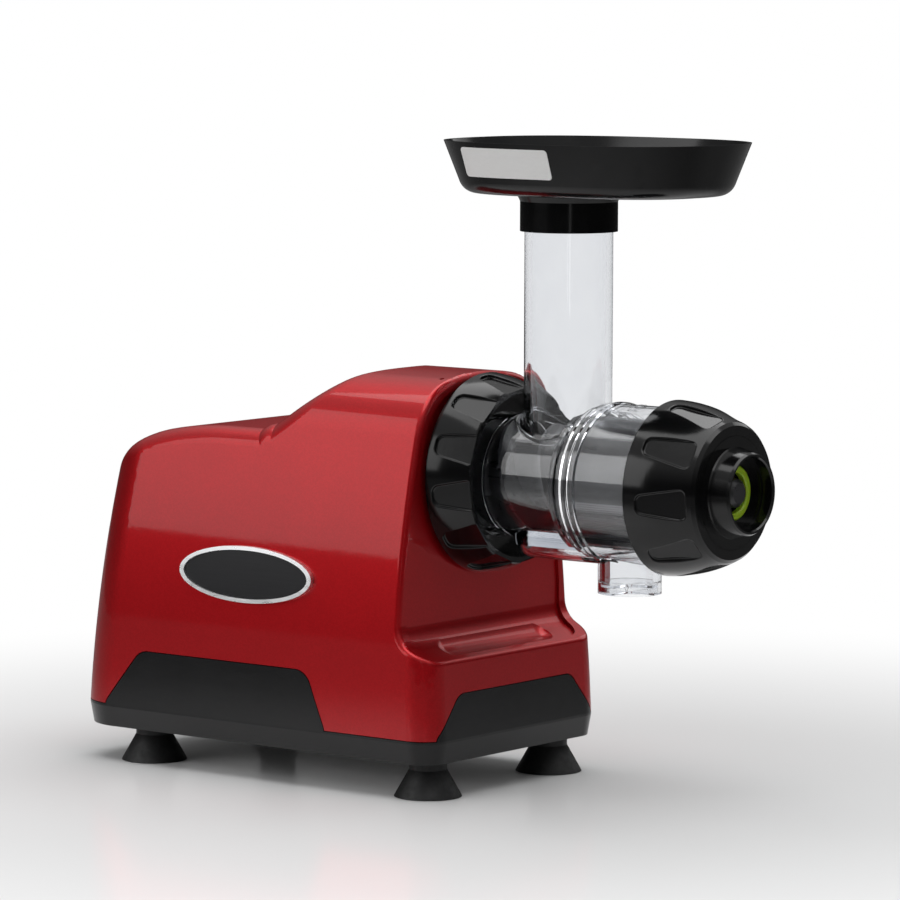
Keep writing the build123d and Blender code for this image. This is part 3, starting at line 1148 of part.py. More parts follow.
def build_motor():
    stack = motor_square(STACK_X, STACK_LENGTH, MOTOR_HALF, 10.0, ROTOR_R + AIR_GAP)
    for k in range(12):
        a = 2 * pi * k / 12
        slot_r = ROTOR_R + AIR_GAP + 6
        stack -= rod(STACK_X - 1, STACK_LENGTH + 2, 3.2, slot_r * cos(a), MOTOR_Z + slot_r * sin(a))
    front = motor_square(FRONT_BRACKET_X, BRACKET, MOTOR_HALF - 1, 14.0, MOTOR_SHAFT_R + 6)
    front += rod(FRONT_BRACKET_X + BRACKET, REAR_PLATE_X - SEAT_GAP - FRONT_BRACKET_X - BRACKET, 16.0, 0, MOTOR_Z, 12.0)
    rear = motor_square(REAR_BRACKET_X, BRACKET, MOTOR_HALF - 1, 14.0, MOTOR_SHAFT_R + 6)
    for piece_x, bracket in ((FRONT_BRACKET_X, "front"), (REAR_BRACKET_X, "rear")):
        for k in range(4):
            a = pi / 2 * k
            cut = rod(piece_x - 1, BRACKET + 2, 7.0, 24 * cos(a), MOTOR_Z + 24 * sin(a))
            if bracket == "front":
                front -= cut
            else:
                rear -= cut
    for y, z in motor_bolt_places():
        hole = rod(REAR_BRACKET_X - 5, 120, BOLT_R + SHAFT_CLEARANCE, y, z)
        stack -= hole
        front -= hole
        rear -= hole
    save(one(stack), "motor_stator")
    save(one(front), "motor_front_bracket")
    save(one(rear), "motor_rear_bracket")
    coil_in = ROTOR_R + AIR_GAP + 2.0
    coils = []
    for x in (STACK_X - WINDING, STACK_X + STACK_LENGTH):
        coil = rod(x, WINDING, coil_in + 10, 0, MOTOR_Z, coil_in)
        far = x if x < STACK_X else x + WINDING
        coils.append(one(fillet([e for e in coil.edges() if abs((e @ 0.5).X - far) < 0.01], 3.0)))
    save(Compound(coils), "motor_windings")
    save(rod(STACK_X, STACK_LENGTH, ROTOR_R, 0, MOTOR_Z, MOTOR_SHAFT_R), "rotor_core")
    save(rod(FAN_X, FAST_X + FAST_WIDTH + 1 - FAN_X, MOTOR_SHAFT_R, 0, MOTOR_Z), "rotor_shaft")
    bearings = [rod(x, BRACKET, MOTOR_SHAFT_R + 6, 0, MOTOR_Z, MOTOR_SHAFT_R + SHAFT_CLEARANCE)
                for x in (FRONT_BRACKET_X, REAR_BRACKET_X)]
    save(Compound([one(b) for b in bearings]), "motor_bearings")
    fan = rod(FAN_X, FAN_WIDTH, 9.0, 0, MOTOR_Z) + rod(FAN_X + FAN_WIDTH - 1.5, 1.5, FAN_R, 0, MOTOR_Z)
    for k in range(9):
        blade = block(FAN_X, FAN_X + FAN_WIDTH - 0.5, -0.8, 0.8, MOTOR_Z + 7, MOTOR_Z + FAN_R - 0.5)
        fan += blade.rotate(Axis((0, 0, MOTOR_Z), (1, 0, 0)), 40.0 * k)
    fan -= rod(FAN_X - 1, FAN_WIDTH + 2, MOTOR_SHAFT_R, 0, MOTOR_Z)
    save(one(fan), "cooling_fan")
    bolts = [rod(REAR_BRACKET_X, REAR_PLATE_X + PLATE - REAR_BRACKET_X, BOLT_R, y, z) +
             rod(REAR_BRACKET_X - 2.5, 2.5, BOLT_R + 1.6, y, z) for y, z in motor_bolt_places()]
    save(Compound([one(b) for b in bolts]), "motor_bolts")
    motor_foot = MOTOR_Z - MOTOR_HALF
    pads = [block(x - MOUNT_HALF_L, x + MOUNT_HALF_L, y - MOUNT_HALF_W, y + MOUNT_HALF_W,
                  motor_foot - MOUNT_HEIGHT, motor_foot - SEAT_GAP) for x, y in mount_places()]
    save(Compound([one(p) for p in pads]), "motor_mounts")
    floor = SKIRT_BOTTOM + BASE_FLOOR
    board = block(-36.0, 0.0, -34.0, 34.0, floor + SEAT_GAP + 2, floor + SEAT_GAP + 3.6)
    for x in (-30.0, -6.0):
        for y in (-28.0, 28.0):
            board += post(x, y, floor + SEAT_GAP, 2.5, 2.5)
    board += block(-32, -20, -20, -6, floor + 3.6, floor + 14) + block(-14, -4, -10, 8, floor + 3.6, floor + 12)
    save(one(board), "control_board")
    save(post(-20.0, 16.0, floor + SEAT_GAP + 3.8, 26.0, 9.0), "run_capacitor")


os.makedirs("parts", exist_ok=True)
build_housing()
build_fittings()
build_juicing_head()
build_gearbox()
build_motor()
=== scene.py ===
import json
from math import cos, hypot, pi, radians, sin

import bmesh
import bpy
from mathutils import Matrix, Vector


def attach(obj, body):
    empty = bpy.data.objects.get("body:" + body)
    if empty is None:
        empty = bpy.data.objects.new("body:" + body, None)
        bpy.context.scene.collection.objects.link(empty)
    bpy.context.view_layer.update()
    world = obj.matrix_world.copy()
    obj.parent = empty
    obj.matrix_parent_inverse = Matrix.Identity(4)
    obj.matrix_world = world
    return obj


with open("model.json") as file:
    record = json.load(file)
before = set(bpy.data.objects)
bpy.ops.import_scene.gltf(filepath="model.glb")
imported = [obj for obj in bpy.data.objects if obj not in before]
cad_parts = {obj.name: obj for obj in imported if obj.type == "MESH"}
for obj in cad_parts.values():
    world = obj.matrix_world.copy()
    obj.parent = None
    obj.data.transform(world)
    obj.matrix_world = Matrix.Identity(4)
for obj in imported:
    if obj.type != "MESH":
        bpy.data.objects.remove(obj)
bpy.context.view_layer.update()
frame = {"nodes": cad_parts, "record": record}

# Horizontal slow juicer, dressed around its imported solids. Metres, +Z up,
# +X along the auger axis towards the pulp nozzle, -Y the badge side.

MM = 0.001
AXIS_Z = 158.0 * MM          # height of the auger axis
MOTOR_AXIS_Z = 95.0 * MM     # height of the motor's axis
WHITE = (1.0, 1.0, 1.0, 1.0)


# ---- Camera -----------------------------------------------------------------

CAMERA_AZIMUTH = 38.03       # degrees, 0 looks along +Y
CAMERA_PITCH = 5.78          # degrees below the horizon
CAMERA_ROLL = 0.18           # degrees
CAMERA_TARGET = (5.66 * MM, 0.0, 167.62 * MM)
CAMERA_DISTANCE = 2.553
CAMERA_LENS = 201.6          # millimetres, as is the sensor
CAMERA_SENSOR = 36.0
CAMERA_NEAR = 0.1
CAMERA_FAR = 50.0


def make_camera():
    az, pitch, roll = radians(CAMERA_AZIMUTH), radians(CAMERA_PITCH), radians(CAMERA_ROLL)
    forward = Vector((-sin(az) * cos(pitch), cos(az) * cos(pitch), -sin(pitch)))
    right = Vector((cos(az), sin(az), 0.0))
    up = right.cross(forward)
    turned_right = right * cos(roll) + up * sin(roll)
    turned_up = up * cos(roll) - right * sin(roll)
    place = Vector(CAMERA_TARGET) - forward * CAMERA_DISTANCE
    axes = Matrix((turned_right, turned_up, -forward)).transposed()
    data = bpy.data.cameras.new("camera")
    data.lens = CAMERA_LENS
    data.sensor_width = CAMERA_SENSOR
    data.clip_start = CAMERA_NEAR
    data.clip_end = CAMERA_FAR
    camera = bpy.data.objects.new("camera", data)
    camera.matrix_world = Matrix.Translation(place) @ axes.to_4x4()
    bpy.context.scene.collection.objects.link(camera)
    bpy.context.scene.camera = camera


make_camera()


# ---- Node helpers -----------------------------------------------------------

class Nodes:
    """Short calls that fill an emptied node tree. An input is a plain value or a node's output."""

    def __init__(self, tree):
        self.tree = tree
        tree.nodes.clear()

    def feed(self, socket, value):
        if isinstance(value, bpy.types.NodeSocket):
            self.tree.links.new(value, socket)
        else:
            socket.default_value = value

    def node(self, kind, **inputs):
        made = self.tree.nodes.new(kind)
        for name, value in inputs.items():
            self.feed(made.inputs[name.replace("_", " ")], value)
        return made

    def math(self, operation, a, b=0.0):
        made = self.tree.nodes.new("ShaderNodeMath")
        made.operation = operation
        self.feed(made.inputs[0], a)
        self.feed(made.inputs[1], b)
        return made.outputs[0]

    def length(self, a, b):
        """Length of a flat vector with these two parts."""
        squares = self.math("ADD", self.math("MULTIPLY", a, a), self.math("MULTIPLY", b, b))
        return self.math("SQRT", squares)

    def span(self, value, source, target=(0.0, 1.0)):
        """Maps a number from the source range to the target range, smoothly and clamped."""
        made = self.tree.nodes.new("ShaderNodeMapRange")
        made.interpolation_type = "SMOOTHSTEP"
        for socket, x in zip(made.inputs, (value, *source, *target)):
            self.feed(socket, x)
        return made.outputs["Result"]

    def split(self, vector):
        return self.node("ShaderNodeSeparateXYZ", Vector=vector).outputs

    def ray_kinds(self):
        """Two switches: 1 for rays of the camera or through glass, and 1 for glossy rays."""
        path = self.node("ShaderNodeLightPath").outputs
        straight = self.math("MAXIMUM", path["Is Camera Ray"], path["Is Transmission Ray"])
        return straight, path["Is Glossy Ray"]


class Shader(Nodes):
    """A material with one Principled shader, patterned in object coordinates in metres."""

    def __init__(self, name):
        self.material = bpy.data.materials.new(name)
        self.material.use_nodes = True
        super().__init__(self.material.node_tree)
        self.body = self.node("ShaderNodeBsdfPrincipled")
        self.output = self.node("ShaderNodeOutputMaterial", Surface=self.body.outputs[0])
        self.coords = self.node("ShaderNodeTexCoord").outputs["Object"]

    def surface(self, **inputs):
        """Fills the Principled shader's sockets: a plain value is the same all over."""
        for name, value in inputs.items():
            self.feed(self.body.inputs[name.replace("_", " ")], value)
        return self.material

    def place(self, stretch):
        """The coordinates; a stretch below 1 draws a pattern out along that axis."""
        if stretch is None:
            return self.coords
        return self.node("ShaderNodeMapping", Vector=self.coords, Scale=stretch).outputs[0]

    def noise(self, scale, detail, rough, stretch=None, distortion=0.0):
        made = self.node("ShaderNodeTexNoise", Vector=self.place(stretch), Scale=scale, Detail=detail,
                         Roughness=rough, Distortion=distortion)
        return made.outputs["Fac"]

    def cells(self, scale, feature="F1"):
        made = self.tree.nodes.new("ShaderNodeTexVoronoi")
        made.feature = feature
        self.feed(made.inputs["Vector"], self.coords)
        self.feed(made.inputs["Scale"], scale)
        return made.outputs

    def from_middle(self, value, pitch):
        """How far a value lies from the middle of its cell, where 1 is a whole cell."""
        return self.math("SUBTRACT", self.math("FRACT", self.math("DIVIDE", value, pitch)), 0.5)

    def mix(self, factor, colour_a, colour_b):
        made = self.tree.nodes.new("ShaderNodeMix")
        made.data_type = "RGBA"
        self.feed(made.inputs[0], factor)
        for socket, x in ((made.inputs[6], colour_a), (made.inputs[7], colour_b)):
            self.feed(socket, (*x, 1.0) if isinstance(x, tuple) else x)
        return made.outputs[2]

    def bump(self, height, strength, distance, normal=None):
        made = self.node("ShaderNodeBump", Height=height, Strength=strength, Distance=distance)
        if normal is not None:
            self.feed(made.inputs["Normal"], normal)
        return made.outputs[0]


def tinted(shade, tint):
    return tuple(shade * part for part in tint)


# ---- Materials --------------------------------------------------------------
# A pattern's scale is per metre, so that 1000 makes marks about a millimetre wide.

NOISE = (0.3, 0.8)           # the part of a noise's range that most patterns use


def red_paint():
    """Metallic red under a clear coat: fine flakes with painted glints, faint mottling, orange peel in the
    coat.
    """
    shader = Shader("red_shell")
    flakes = shader.split(shader.cells(scale=1500.0)["Color"])
    mottle = shader.noise(scale=26.0, detail=3.0, rough=0.55)
    smudge = shader.noise(scale=48.0, detail=4.0, rough=0.6, distortion=0.4)
    peel = shader.noise(scale=420.0, detail=2.0, rough=0.4)
    deep = (0.335, 0.0036, 0.0064)
    bright = (0.385, 0.0048, 0.0082)
    cloudy = (0.310, 0.0035, 0.0062)
    # Each flake is painted a deeper or a brighter red: painted glints of the flakes.
    flakes_with_painted_glints = shader.mix(shader.span(flakes[0], (0.1, 0.95)), deep, bright)
    shader.surface(Metallic=0.62, Specular_IOR_Level=0.12)
    shader.surface(Coat_Weight=0.50, Coat_Roughness=0.05, Coat_IOR=1.45)
    return shader.surface(
        Base_Color=shader.mix(shader.span(mottle, (0.3, 0.75), (0.0, 0.25)), flakes_with_painted_glints, cloudy),
        Roughness=shader.span(smudge, (0.25, 0.8), (0.37, 0.40)),
        Coat_Normal=shader.bump(peel, strength=0.035, distance=0.2 * MM),
        Normal=shader.bump(flakes[1], strength=0.035, distance=0.04 * MM),
    )


def moulded_black(name, shade, roughness, grain, grain_strength):
    """Moulded black plastic: slight cloudiness, wiped gloss with specks of dust, fine grain."""
    shader = Shader(name)
    cloud = shader.noise(scale=34.0, detail=3.0, rough=0.55, distortion=0.3)
    wipe = shader.noise(scale=95.0, detail=4.0, rough=0.6, stretch=(0.5, 1.0, 1.6), distortion=0.5)
    specks = shader.noise(scale=2600.0, detail=1.0, rough=0.5)
    waves = shader.noise(scale=300.0, detail=1.0, rough=0.4)
    grains = shader.noise(scale=grain, detail=2.0, rough=0.6)
    dark = tinted(shade, (0.92, 0.93, 1.0))
    pale = tinted(shade, (1.45, 1.47, 1.60))
    dust = shader.span(specks, (0.66, 0.78), (0.0, 0.06))
    fine = shader.bump(grains, grain_strength, distance=0.06 * MM)
    return shader.surface(
        Specular_IOR_Level=0.3,
        Base_Color=shader.mix(shader.span(cloud, NOISE), dark, pale),
        Roughness=shader.math("ADD", shader.span(wipe, (0.25, 0.8), roughness), dust),
        Normal=shader.bump(waves, strength=0.04, distance=0.2 * MM, normal=fine),
    )


def clear_plastic():
    """Clear moulded polymer, slightly smoky, with flow marks and faint wear in its polish."""
    shader = Shader("clear_drum")
    haze = shader.noise(scale=60.0, detail=3.0, rough=0.5, distortion=0.6)
    wear = shader.noise(scale=140.0, detail=4.0, rough=0.6)
    flow = shader.noise(scale=70.0, detail=2.0, rough=0.5, stretch=(1.0, 1.0, 0.35), distortion=0.8)
    smoke = shader.node("ShaderNodeVolumeAbsorption", Color=(0.60, 0.63, 0.68, 1.0), Density=52.0)
    shader.feed(shader.output.inputs["Volume"], smoke.outputs[0])
    shader.surface(Transmission_Weight=1.0, IOR=1.49, Specular_IOR_Level=0.5)
    return shader.surface(
        Base_Color=shader.mix(shader.span(haze, NOISE), (0.93, 0.935, 0.945), (0.955, 0.96, 0.965)),
        Roughness=shader.span(wear, NOISE, (0.015, 0.06)),
        Normal=shader.bump(flow, strength=0.05, distance=0.6 * MM),
    )


def chrome_trim():
    """Satin chrome, brushed along its length, with a faint change of tone."""
    shader = Shader("chrome_trim")
    tone = shader.noise(scale=160.0, detail=3.0, rough=0.5)
    brushed = shader.noise(scale=420.0, detail=3.0, rough=0.6, stretch=(0.2, 1.0, 1.0))
    waves = shader.noise(scale=500.0, detail=1.0, rough=0.5)
    return shader.surface(
        Metallic=1.0,
        Base_Color=shader.mix(tone, (0.86, 0.87, 0.88), (0.94, 0.94, 0.95)),
        Roughness=shader.span(brushed, NOISE, (0.26, 0.38)),
        Normal=shader.bump(waves, strength=0.03, distance=0.1 * MM),
    )


def badge_enamel():
    """Dark enamel of the blank badge, with a soft brushed sheen under its lacquer."""
    shader = Shader("badge_black")
    brushed = shader.noise(scale=900.0, detail=3.0, rough=0.6, stretch=(0.03, 1.0, 1.0))
    shader.surface(Specular_IOR_Level=0.25, Coat_Weight=0.1, Coat_Roughness=0.2)
    return shader.surface(
        Base_Color=shader.mix(brushed, (0.006, 0.006, 0.007), (0.013, 0.013, 0.015)),
        Roughness=shader.span(brushed, (0.2, 0.8), (0.34, 0.46)),
        Normal=shader.bump(brushed, strength=0.06, distance=0.05 * MM),
    )


def rubber(name, shade):
    """Matt rubber with a fine grain and paler dust in patches."""
    shader = Shader(name)
    dust = shader.span(shader.noise(scale=180.0, detail=5.0, rough=0.65), (0.45, 0.8))
    patches = shader.noise(scale=400.0, detail=3.0, rough=0.6)
    grains = shader.noise(scale=2200.0, detail=2.0, rough=0.6)
    clean = tinted(shade, (1.0, 1.0, 1.05))
    dusty = tinted(shade, (2.2, 2.2, 2.3))
    return shader.surface(
        Specular_IOR_Level=0.35,
        Base_Color=shader.mix(dust, clean, dusty),
        Roughness=shader.span(patches, NOISE, (0.48, 0.66)),
        Normal=shader.bump(grains, strength=0.22, distance=0.1 * MM),
    )


def lime_silicone():
    """Slightly translucent lime silicone with a fine grain."""
    shader = Shader("lime_silicone")
    tone = shader.noise(scale=220.0, detail=3.0, rough=0.5)
    patches = shader.noise(scale=500.0, detail=3.0, rough=0.6)
    grains = shader.noise(scale=1500.0, detail=2.0, rough=0.5)
    shader.surface(Subsurface_Weight=0.25, Subsurface_Scale=2.0 * MM, Specular_IOR_Level=0.4)
    return shader.surface(
        Base_Color=shader.mix(tone, (0.36, 0.56, 0.020), (0.44, 0.64, 0.035)),
        Roughness=shader.span(patches, NOISE, (0.34, 0.5)),
        Normal=shader.bump(grains, strength=0.12, distance=0.08 * MM),
    )


def sticker():
    """Blank satin sticker with faint paper fibre."""
    shader = Shader("label_white")
    fibre = shader.noise(scale=900.0, detail=5.0, rough=0.7, stretch=(0.35, 1.0, 1.0))
    patches = shader.noise(scale=260.0, detail=3.0, rough=0.5)
    shader.surface(Coat_Weight=0.25, Coat_Roughness=0.25)
    return shader.surface(
        Base_Color=shader.mix(fibre, (0.80, 0.80, 0.79), (0.88, 0.88, 0.87)),
        Roughness=shader.span(patches, NOISE, (0.38, 0.5)),
        Normal=shader.bump(fibre, strength=0.08, distance=0.05 * MM),
    )


def auger_nylon():
    """Dark reinforced nylon: satin, with fine glass-fibre flow lines along the axis."""
    shader = Shader("auger_black")
    flow = shader.noise(scale=240.0, detail=4.0, rough=0.6, stretch=(0.25, 1.0, 1.0), distortion=0.4)
    grains = shader.noise(scale=1400.0, detail=2.0, rough=0.6)
    return shader.surface(
        Specular_IOR_Level=0.5,
        Base_Color=shader.mix(flow, (0.014, 0.014, 0.016), (0.032, 0.032, 0.036)),
        Roughness=shader.span(flow, (0.25, 0.8), (0.26, 0.4)),
        Normal=shader.bump(grains, strength=0.1, distance=0.06 * MM),
    )


def perforated_steel():
    """Thin strainer sleeve: rows of small round holes in brushed stainless steel, the holes painted
    near-black as painted shade.
    """
    shader = Shader("screen_steel")
    pitch_along = 1.1 * MM
    pitch_round = 0.038       # radians
    hole_edge = (0.22, 0.30)  # in pitches from the hole's middle
    x, y, z = shader.split(shader.coords)[0:3]
    angle = shader.math("ARCTAN2", y, shader.math("SUBTRACT", z, AXIS_Z))
    off_along = shader.from_middle(x, pitch_along)
    off_round = shader.from_middle(angle, pitch_round)
    solid = shader.span(shader.length(off_along, off_round), hole_edge)
    brushed = shader.noise(scale=900.0, detail=3.0, rough=0.6, stretch=(0.1, 1.0, 1.0))
    # The holes are painted near-black: painted shade inside them.
    return shader.surface(
        Metallic=1.0,
        Base_Color=shader.mix(solid, (0.008, 0.008, 0.008), (0.19, 0.19, 0.20)),
        Roughness=shader.span(brushed, (0.2, 0.8), (0.28, 0.42)),
        Normal=shader.bump(solid, strength=0.4, distance=0.1 * MM),
    )


def metal(name, colour, roughness, stretch=(0.05, 1.0, 1.0)):
    """Bare metal with turning or brushing marks along one axis and faint tarnish."""
    shader = Shader(name)
    tarnish = shader.noise(scale=70.0, detail=4.0, rough=0.6)
    marks = shader.noise(scale=900.0, detail=3.0, rough=0.6, stretch=stretch)
    worn = tinted(0.72, colour)
    return shader.surface(
        Metallic=1.0,
        Base_Color=shader.mix(shader.span(tarnish, (0.35, 0.8)), colour, worn),
        Roughness=shader.span(marks, (0.2, 0.8), roughness),
        Normal=shader.bump(marks, strength=0.15, distance=0.08 * MM),
    )


def laminations():
    """Stack of thin steel sheets: fine dark lines across the motor's axis."""
    shader = Shader("lamination")
    sheet = 0.5 * MM
    along_sheet = shader.math("FRACT", shader.math("DIVIDE", shader.split(shader.coords)[0], sheet))
    steel = shader.span(along_sheet, (0.02, 0.16))
    patches = shader.noise(scale=300.0, detail=3.0, rough=0.5)
    return shader.surface(
        Metallic=0.9,
        Base_Color=shader.mix(steel, (0.04, 0.04, 0.045), (0.20, 0.205, 0.215)),
        Roughness=shader.span(patches, NOISE, (0.38, 0.55)),
        Normal=shader.bump(steel, strength=0.3, distance=0.1 * MM),
    )


def enamelled_copper():
    """Wound wire: turns a millimetre apart, with varnish over them, painted dark in the grooves and bright
    on the crowns.
    """
    shader = Shader("copper")
    half_turn = 0.5 * MM
    x, y, z = shader.split(shader.coords)[0:3]
    from_axis = shader.length(y, shader.math("SUBTRACT", z, MOTOR_AXIS_Z))
    turn = shader.math("PINGPONG", shader.math("DIVIDE", shader.math("ADD", from_axis, x), half_turn), 1.0)
    patches = shader.noise(scale=400.0, detail=3.0, rough=0.5)
    shader.surface(Metallic=0.8, Coat_Weight=0.5, Coat_Roughness=0.15)
    # The colour is painted shade in the grooves between turns and a painted highlight along each turn's
    # crown.
    return shader.surface(
        Base_Color=shader.mix(turn, (0.16, 0.045, 0.015), (0.52, 0.19, 0.07)),
        Roughness=shader.span(patches, NOISE, (0.25, 0.4)),
        Normal=shader.bump(turn, strength=0.5, distance=0.2 * MM),
    )


def circuit_board():
    """Green board with a web of brighter tracks under lacquer."""
    shader = Shader("board_green")
    edges = shader.cells(scale=330.0, feature="DISTANCE_TO_EDGE")["Distance"]
    track = shader.span(edges, (0.03, 0.08), (1.0, 0.0))
    patches = shader.noise(scale=300.0, detail=3.0, rough=0.5)
    shader.surface(Coat_Weight=0.4, Coat_Roughness=0.2)
    return shader.surface(
        Base_Color=shader.mix(track, (0.012, 0.11, 0.035), (0.03, 0.20, 0.07)),
        Roughness=shader.span(patches, NOISE, (0.35, 0.5)),
        Normal=shader.bump(track, strength=0.2, distance=0.05 * MM),
    )


def pale_plastic(name, low, high):
    """Light engineering plastic with mould texture and slight staining."""
    shader = Shader(name)
    stain = shader.noise(scale=90.0, detail=4.0, rough=0.6)
    patches = shader.noise(scale=420.0, detail=3.0, rough=0.6)
    grains = shader.noise(scale=1600.0, detail=2.0, rough=0.5)
    return shader.surface(
        Base_Color=shader.mix(stain, low, high),
        Roughness=shader.span(patches, NOISE, (0.4, 0.55)),
        Normal=shader.bump(grains, strength=0.1, distance=0.06 * MM),
    )


MATERIALS = {
    "red_shell": red_paint(),
    "black_base": moulded_black("black_base", 0.0035, (0.22, 0.27), grain=1800.0, grain_strength=0.06),
    "black_gloss": moulded_black("black_gloss", 0.0028, (0.12, 0.16), grain=2400.0, grain_strength=0.03),
    "hopper_black": moulded_black("hopper_black", 0.0030, (0.14, 0.18), grain=2400.0, grain_strength=0.04),
    "clear_drum": clear_plastic(),
    "chrome_trim": chrome_trim(),
    "badge_black": badge_enamel(),
    "black_rubber": rubber("black_rubber", shade=0.0055),
    "grey_rubber": rubber("grey_rubber", shade=0.09),
    "lime_silicone": lime_silicone(),
    "label_white": sticker(),
    "auger_black": auger_nylon(),
    "screen_steel": perforated_steel(),
    "shaft_steel": metal("shaft_steel", (0.55, 0.55, 0.56), roughness=(0.18, 0.34)),
    "screw_steel": metal("screw_steel", (0.48, 0.48, 0.50), roughness=(0.24, 0.42), stretch=(1.0, 1.0, 0.3)),
    "lamination": laminations(),
    "copper": enamelled_copper(),
    "bronze": metal("bronze", (0.46, 0.27, 0.11), roughness=(0.26, 0.42)),
    "brass_blade": metal("brass_blade", (0.66, 0.47, 0.18), roughness=(0.16, 0.30)),
    "plate_aluminium": metal("plate_aluminium", (0.62, 0.63, 0.64), (0.30, 0.46), stretch=(1.0, 0.06, 1.0)),
    "nylon_gear": pale_plastic("nylon_gear", (0.62, 0.60, 0.52), (0.74, 0.72, 0.64)),
    "board_green": circuit_board(),
    "capacitor_grey": pale_plastic("capacitor_grey", (0.16, 0.17, 0.18), (0.24, 0.25, 0.26)),
}


def dress_nodes():
    """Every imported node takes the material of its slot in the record."""
    for entry in frame["record"]["subparts"]:
        node = frame["nodes"][entry["node"]]
        node.data.materials.clear()
        node.data.materials.append(MATERIALS[entry["material_slot"]])


dress_nodes()


# ---- Mesh helpers -----------------------------------------------------------

MERGE_DISTANCE = 1e-7
BEAD_STEPS = 8               # straight runs across a bead's rounded top


def piece(name, verts, faces, slot, body):
    """A new smooth mesh piece, with its slot, its material and the body that it rides on."""
    mesh = bpy.data.meshes.new(name)
    mesh.from_pydata(verts, [], faces)
    tidy = bmesh.new()
    tidy.from_mesh(mesh)
    bmesh.ops.remove_doubles(tidy, verts=tidy.verts, dist=MERGE_DISTANCE)
    bmesh.ops.recalc_face_normals(tidy, faces=tidy.faces)
    tidy.to_mesh(mesh)
    tidy.free()
    mesh.materials.append(MATERIALS[slot])
    made = bpy.data.objects.new(name, mesh)
    bpy.context.scene.collection.objects.link(made)
    for face in mesh.polygons:
        face.use_smooth = True
    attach(made, body)


def raised_line(path, closed, bead, lift):
    """Rounded bead along a flat path; lift puts a point (u, v, h) of the drawing in space."""
    width, height, sink = bead
    angles = [pi * k / BEAD_STEPS for k in range(BEAD_STEPS + 1)]
    top = [(-cos(a) * width / 2, sin(a) * height) for a in angles]
    profile = [(-width / 2, -sink)] + top + [(width / 2, -sink)]
    count = len(path)
    verts, faces = [], []
    for i, (u, v) in enumerate(path):
        before = path[(i - 1) % count] if closed or i else path[i]
        after = path[(i + 1) % count] if closed or i < count - 1 else path[i]
        du, dv = after[0] - before[0], after[1] - before[1]
        length = hypot(du, dv)
        nu, nv = -dv / length, du / length
        for across, up in profile:
            verts.append(lift(u + nu * across, v + nv * across, up))
    n = len(profile)
    for i in range(count if closed else count - 1):
        j = (i + 1) % count
        for k in range(n):
            m = (k + 1) % n
            faces.append((i * n + k, i * n + m, j * n + m, j * n + k))
    if not closed:
        faces.append(tuple(range(n)))
        faces.append(tuple((count - 1) * n + k for k in reversed(range(n))))
    return verts, faces


def joined(parts):
    """Several (verts, faces) lists as one."""
    verts, faces = [], []
    for some_verts, some_faces in parts:
        base = len(verts)
        verts += some_verts
        faces += [tuple(base + k for k in face) for face in some_faces]
    return verts, faces


def along(start, end, steps):
    """Points evenly spaced from start to end."""
    shares = [k / steps for k in range(steps + 1)]
    return [(start[0] + (end[0] - start[0]) * t, start[1] + (end[1] - start[1]) * t) for t in shares]


def bent_line(corners, steps):
    """An open stroke from corner to corner, with so many steps on each side."""
    path = corners[:1]
    for start, end, count in zip(corners, corners[1:], steps):
        path += along(start, end, count)[1:]
    return path


def outline(corners, steps):
    """A closed stroke in the same way, from the last corner back to the first."""
    return bent_line(corners + corners[:1], steps)[:-1]


def arc(centre, r, start, end, steps):
    """Points on an arc, angles in degrees."""
    angles = [radians(start + (end - start) * k / steps) for k in range(steps + 1)]
    return [(centre[0] + r * cos(a), centre[1] + r * sin(a)) for a in angles]


# ---- Moulded marks ----------------------------------------------------------
# A drawing is a list of strokes. Each stroke is its points and whether it is closed. A bead is
# a stroke's width, its height above the skin and its depth below it.

DRUM_SKIN_R = 39.3 * MM      # outside of the drum between its rings and the cap
DRUM_BEAD = (0.7 * MM, 0.35 * MM, 0.15 * MM)
DRUM_MARK_X = 125.0 * MM
OPEN_MARK_TURN = 0.0         # degrees from the drum's top towards the badge side
ARROW_MARK_TURN = 12.0
LOCKED_MARK_TURN = 24.0

ARROW_LENGTH = 6.4 * MM
ARROW_HEAD = 2.2 * MM
HEAD_SPREAD = 0.8            # half of the head's width, as a share of its length

LOCK_R = 1.7 * MM            # half of a padlock's width
LOCK_TOP = 0.5               # top of its body above the middle, as a share of LOCK_R
SHACKLE_R = 1.1 * MM
LOCKED_LIFT = 0.2 * MM       # how far a shackle's ends stand off the body
OPEN_LIFT = 1.2 * MM

SPOUT_X = 118.6 * MM         # the axis of the spout and its collar
COLLAR_SKIN_R = 15.8 * MM    # outside of the collar
COLLAR_BEAD = (0.45 * MM, 0.2 * MM, 0.12 * MM)
COLLAR_MARK_Z = 107.6 * MM
COLLAR_MARK_TURN = -60.0     # degrees about the spout's axis, from +X
TRIANGLE_HALF_H = 1.3 * MM
TRIANGLE_HALF_W = 1.1 * MM

SHORT_STEPS = 4              # steps on the short sides, the barbs and the triangle
LONG_STEPS = 6               # on a padlock's long sides
SHAFT_STEPS = 8
SHACKLE_STEPS = 16


def on_drum(turn):
    """Lifts a drawing onto the drum: u along the axis, v round it, turned from the top."""
    def lift(u, v, h):
        r = DRUM_SKIN_R + h
        a = radians(turn) + v / DRUM_SKIN_R
        return (DRUM_MARK_X + u, -r * sin(a), AXIS_Z + r * cos(a))
    return lift


def on_collar(turn):
    """Lifts a drawing onto the spout's collar: u upwards, v round it."""
    def lift(u, v, h):
        r = COLLAR_SKIN_R + h
        a = radians(turn) + v / COLLAR_SKIN_R
        return (SPOUT_X + r * cos(a), r * sin(a), COLLAR_MARK_Z + u)
    return lift


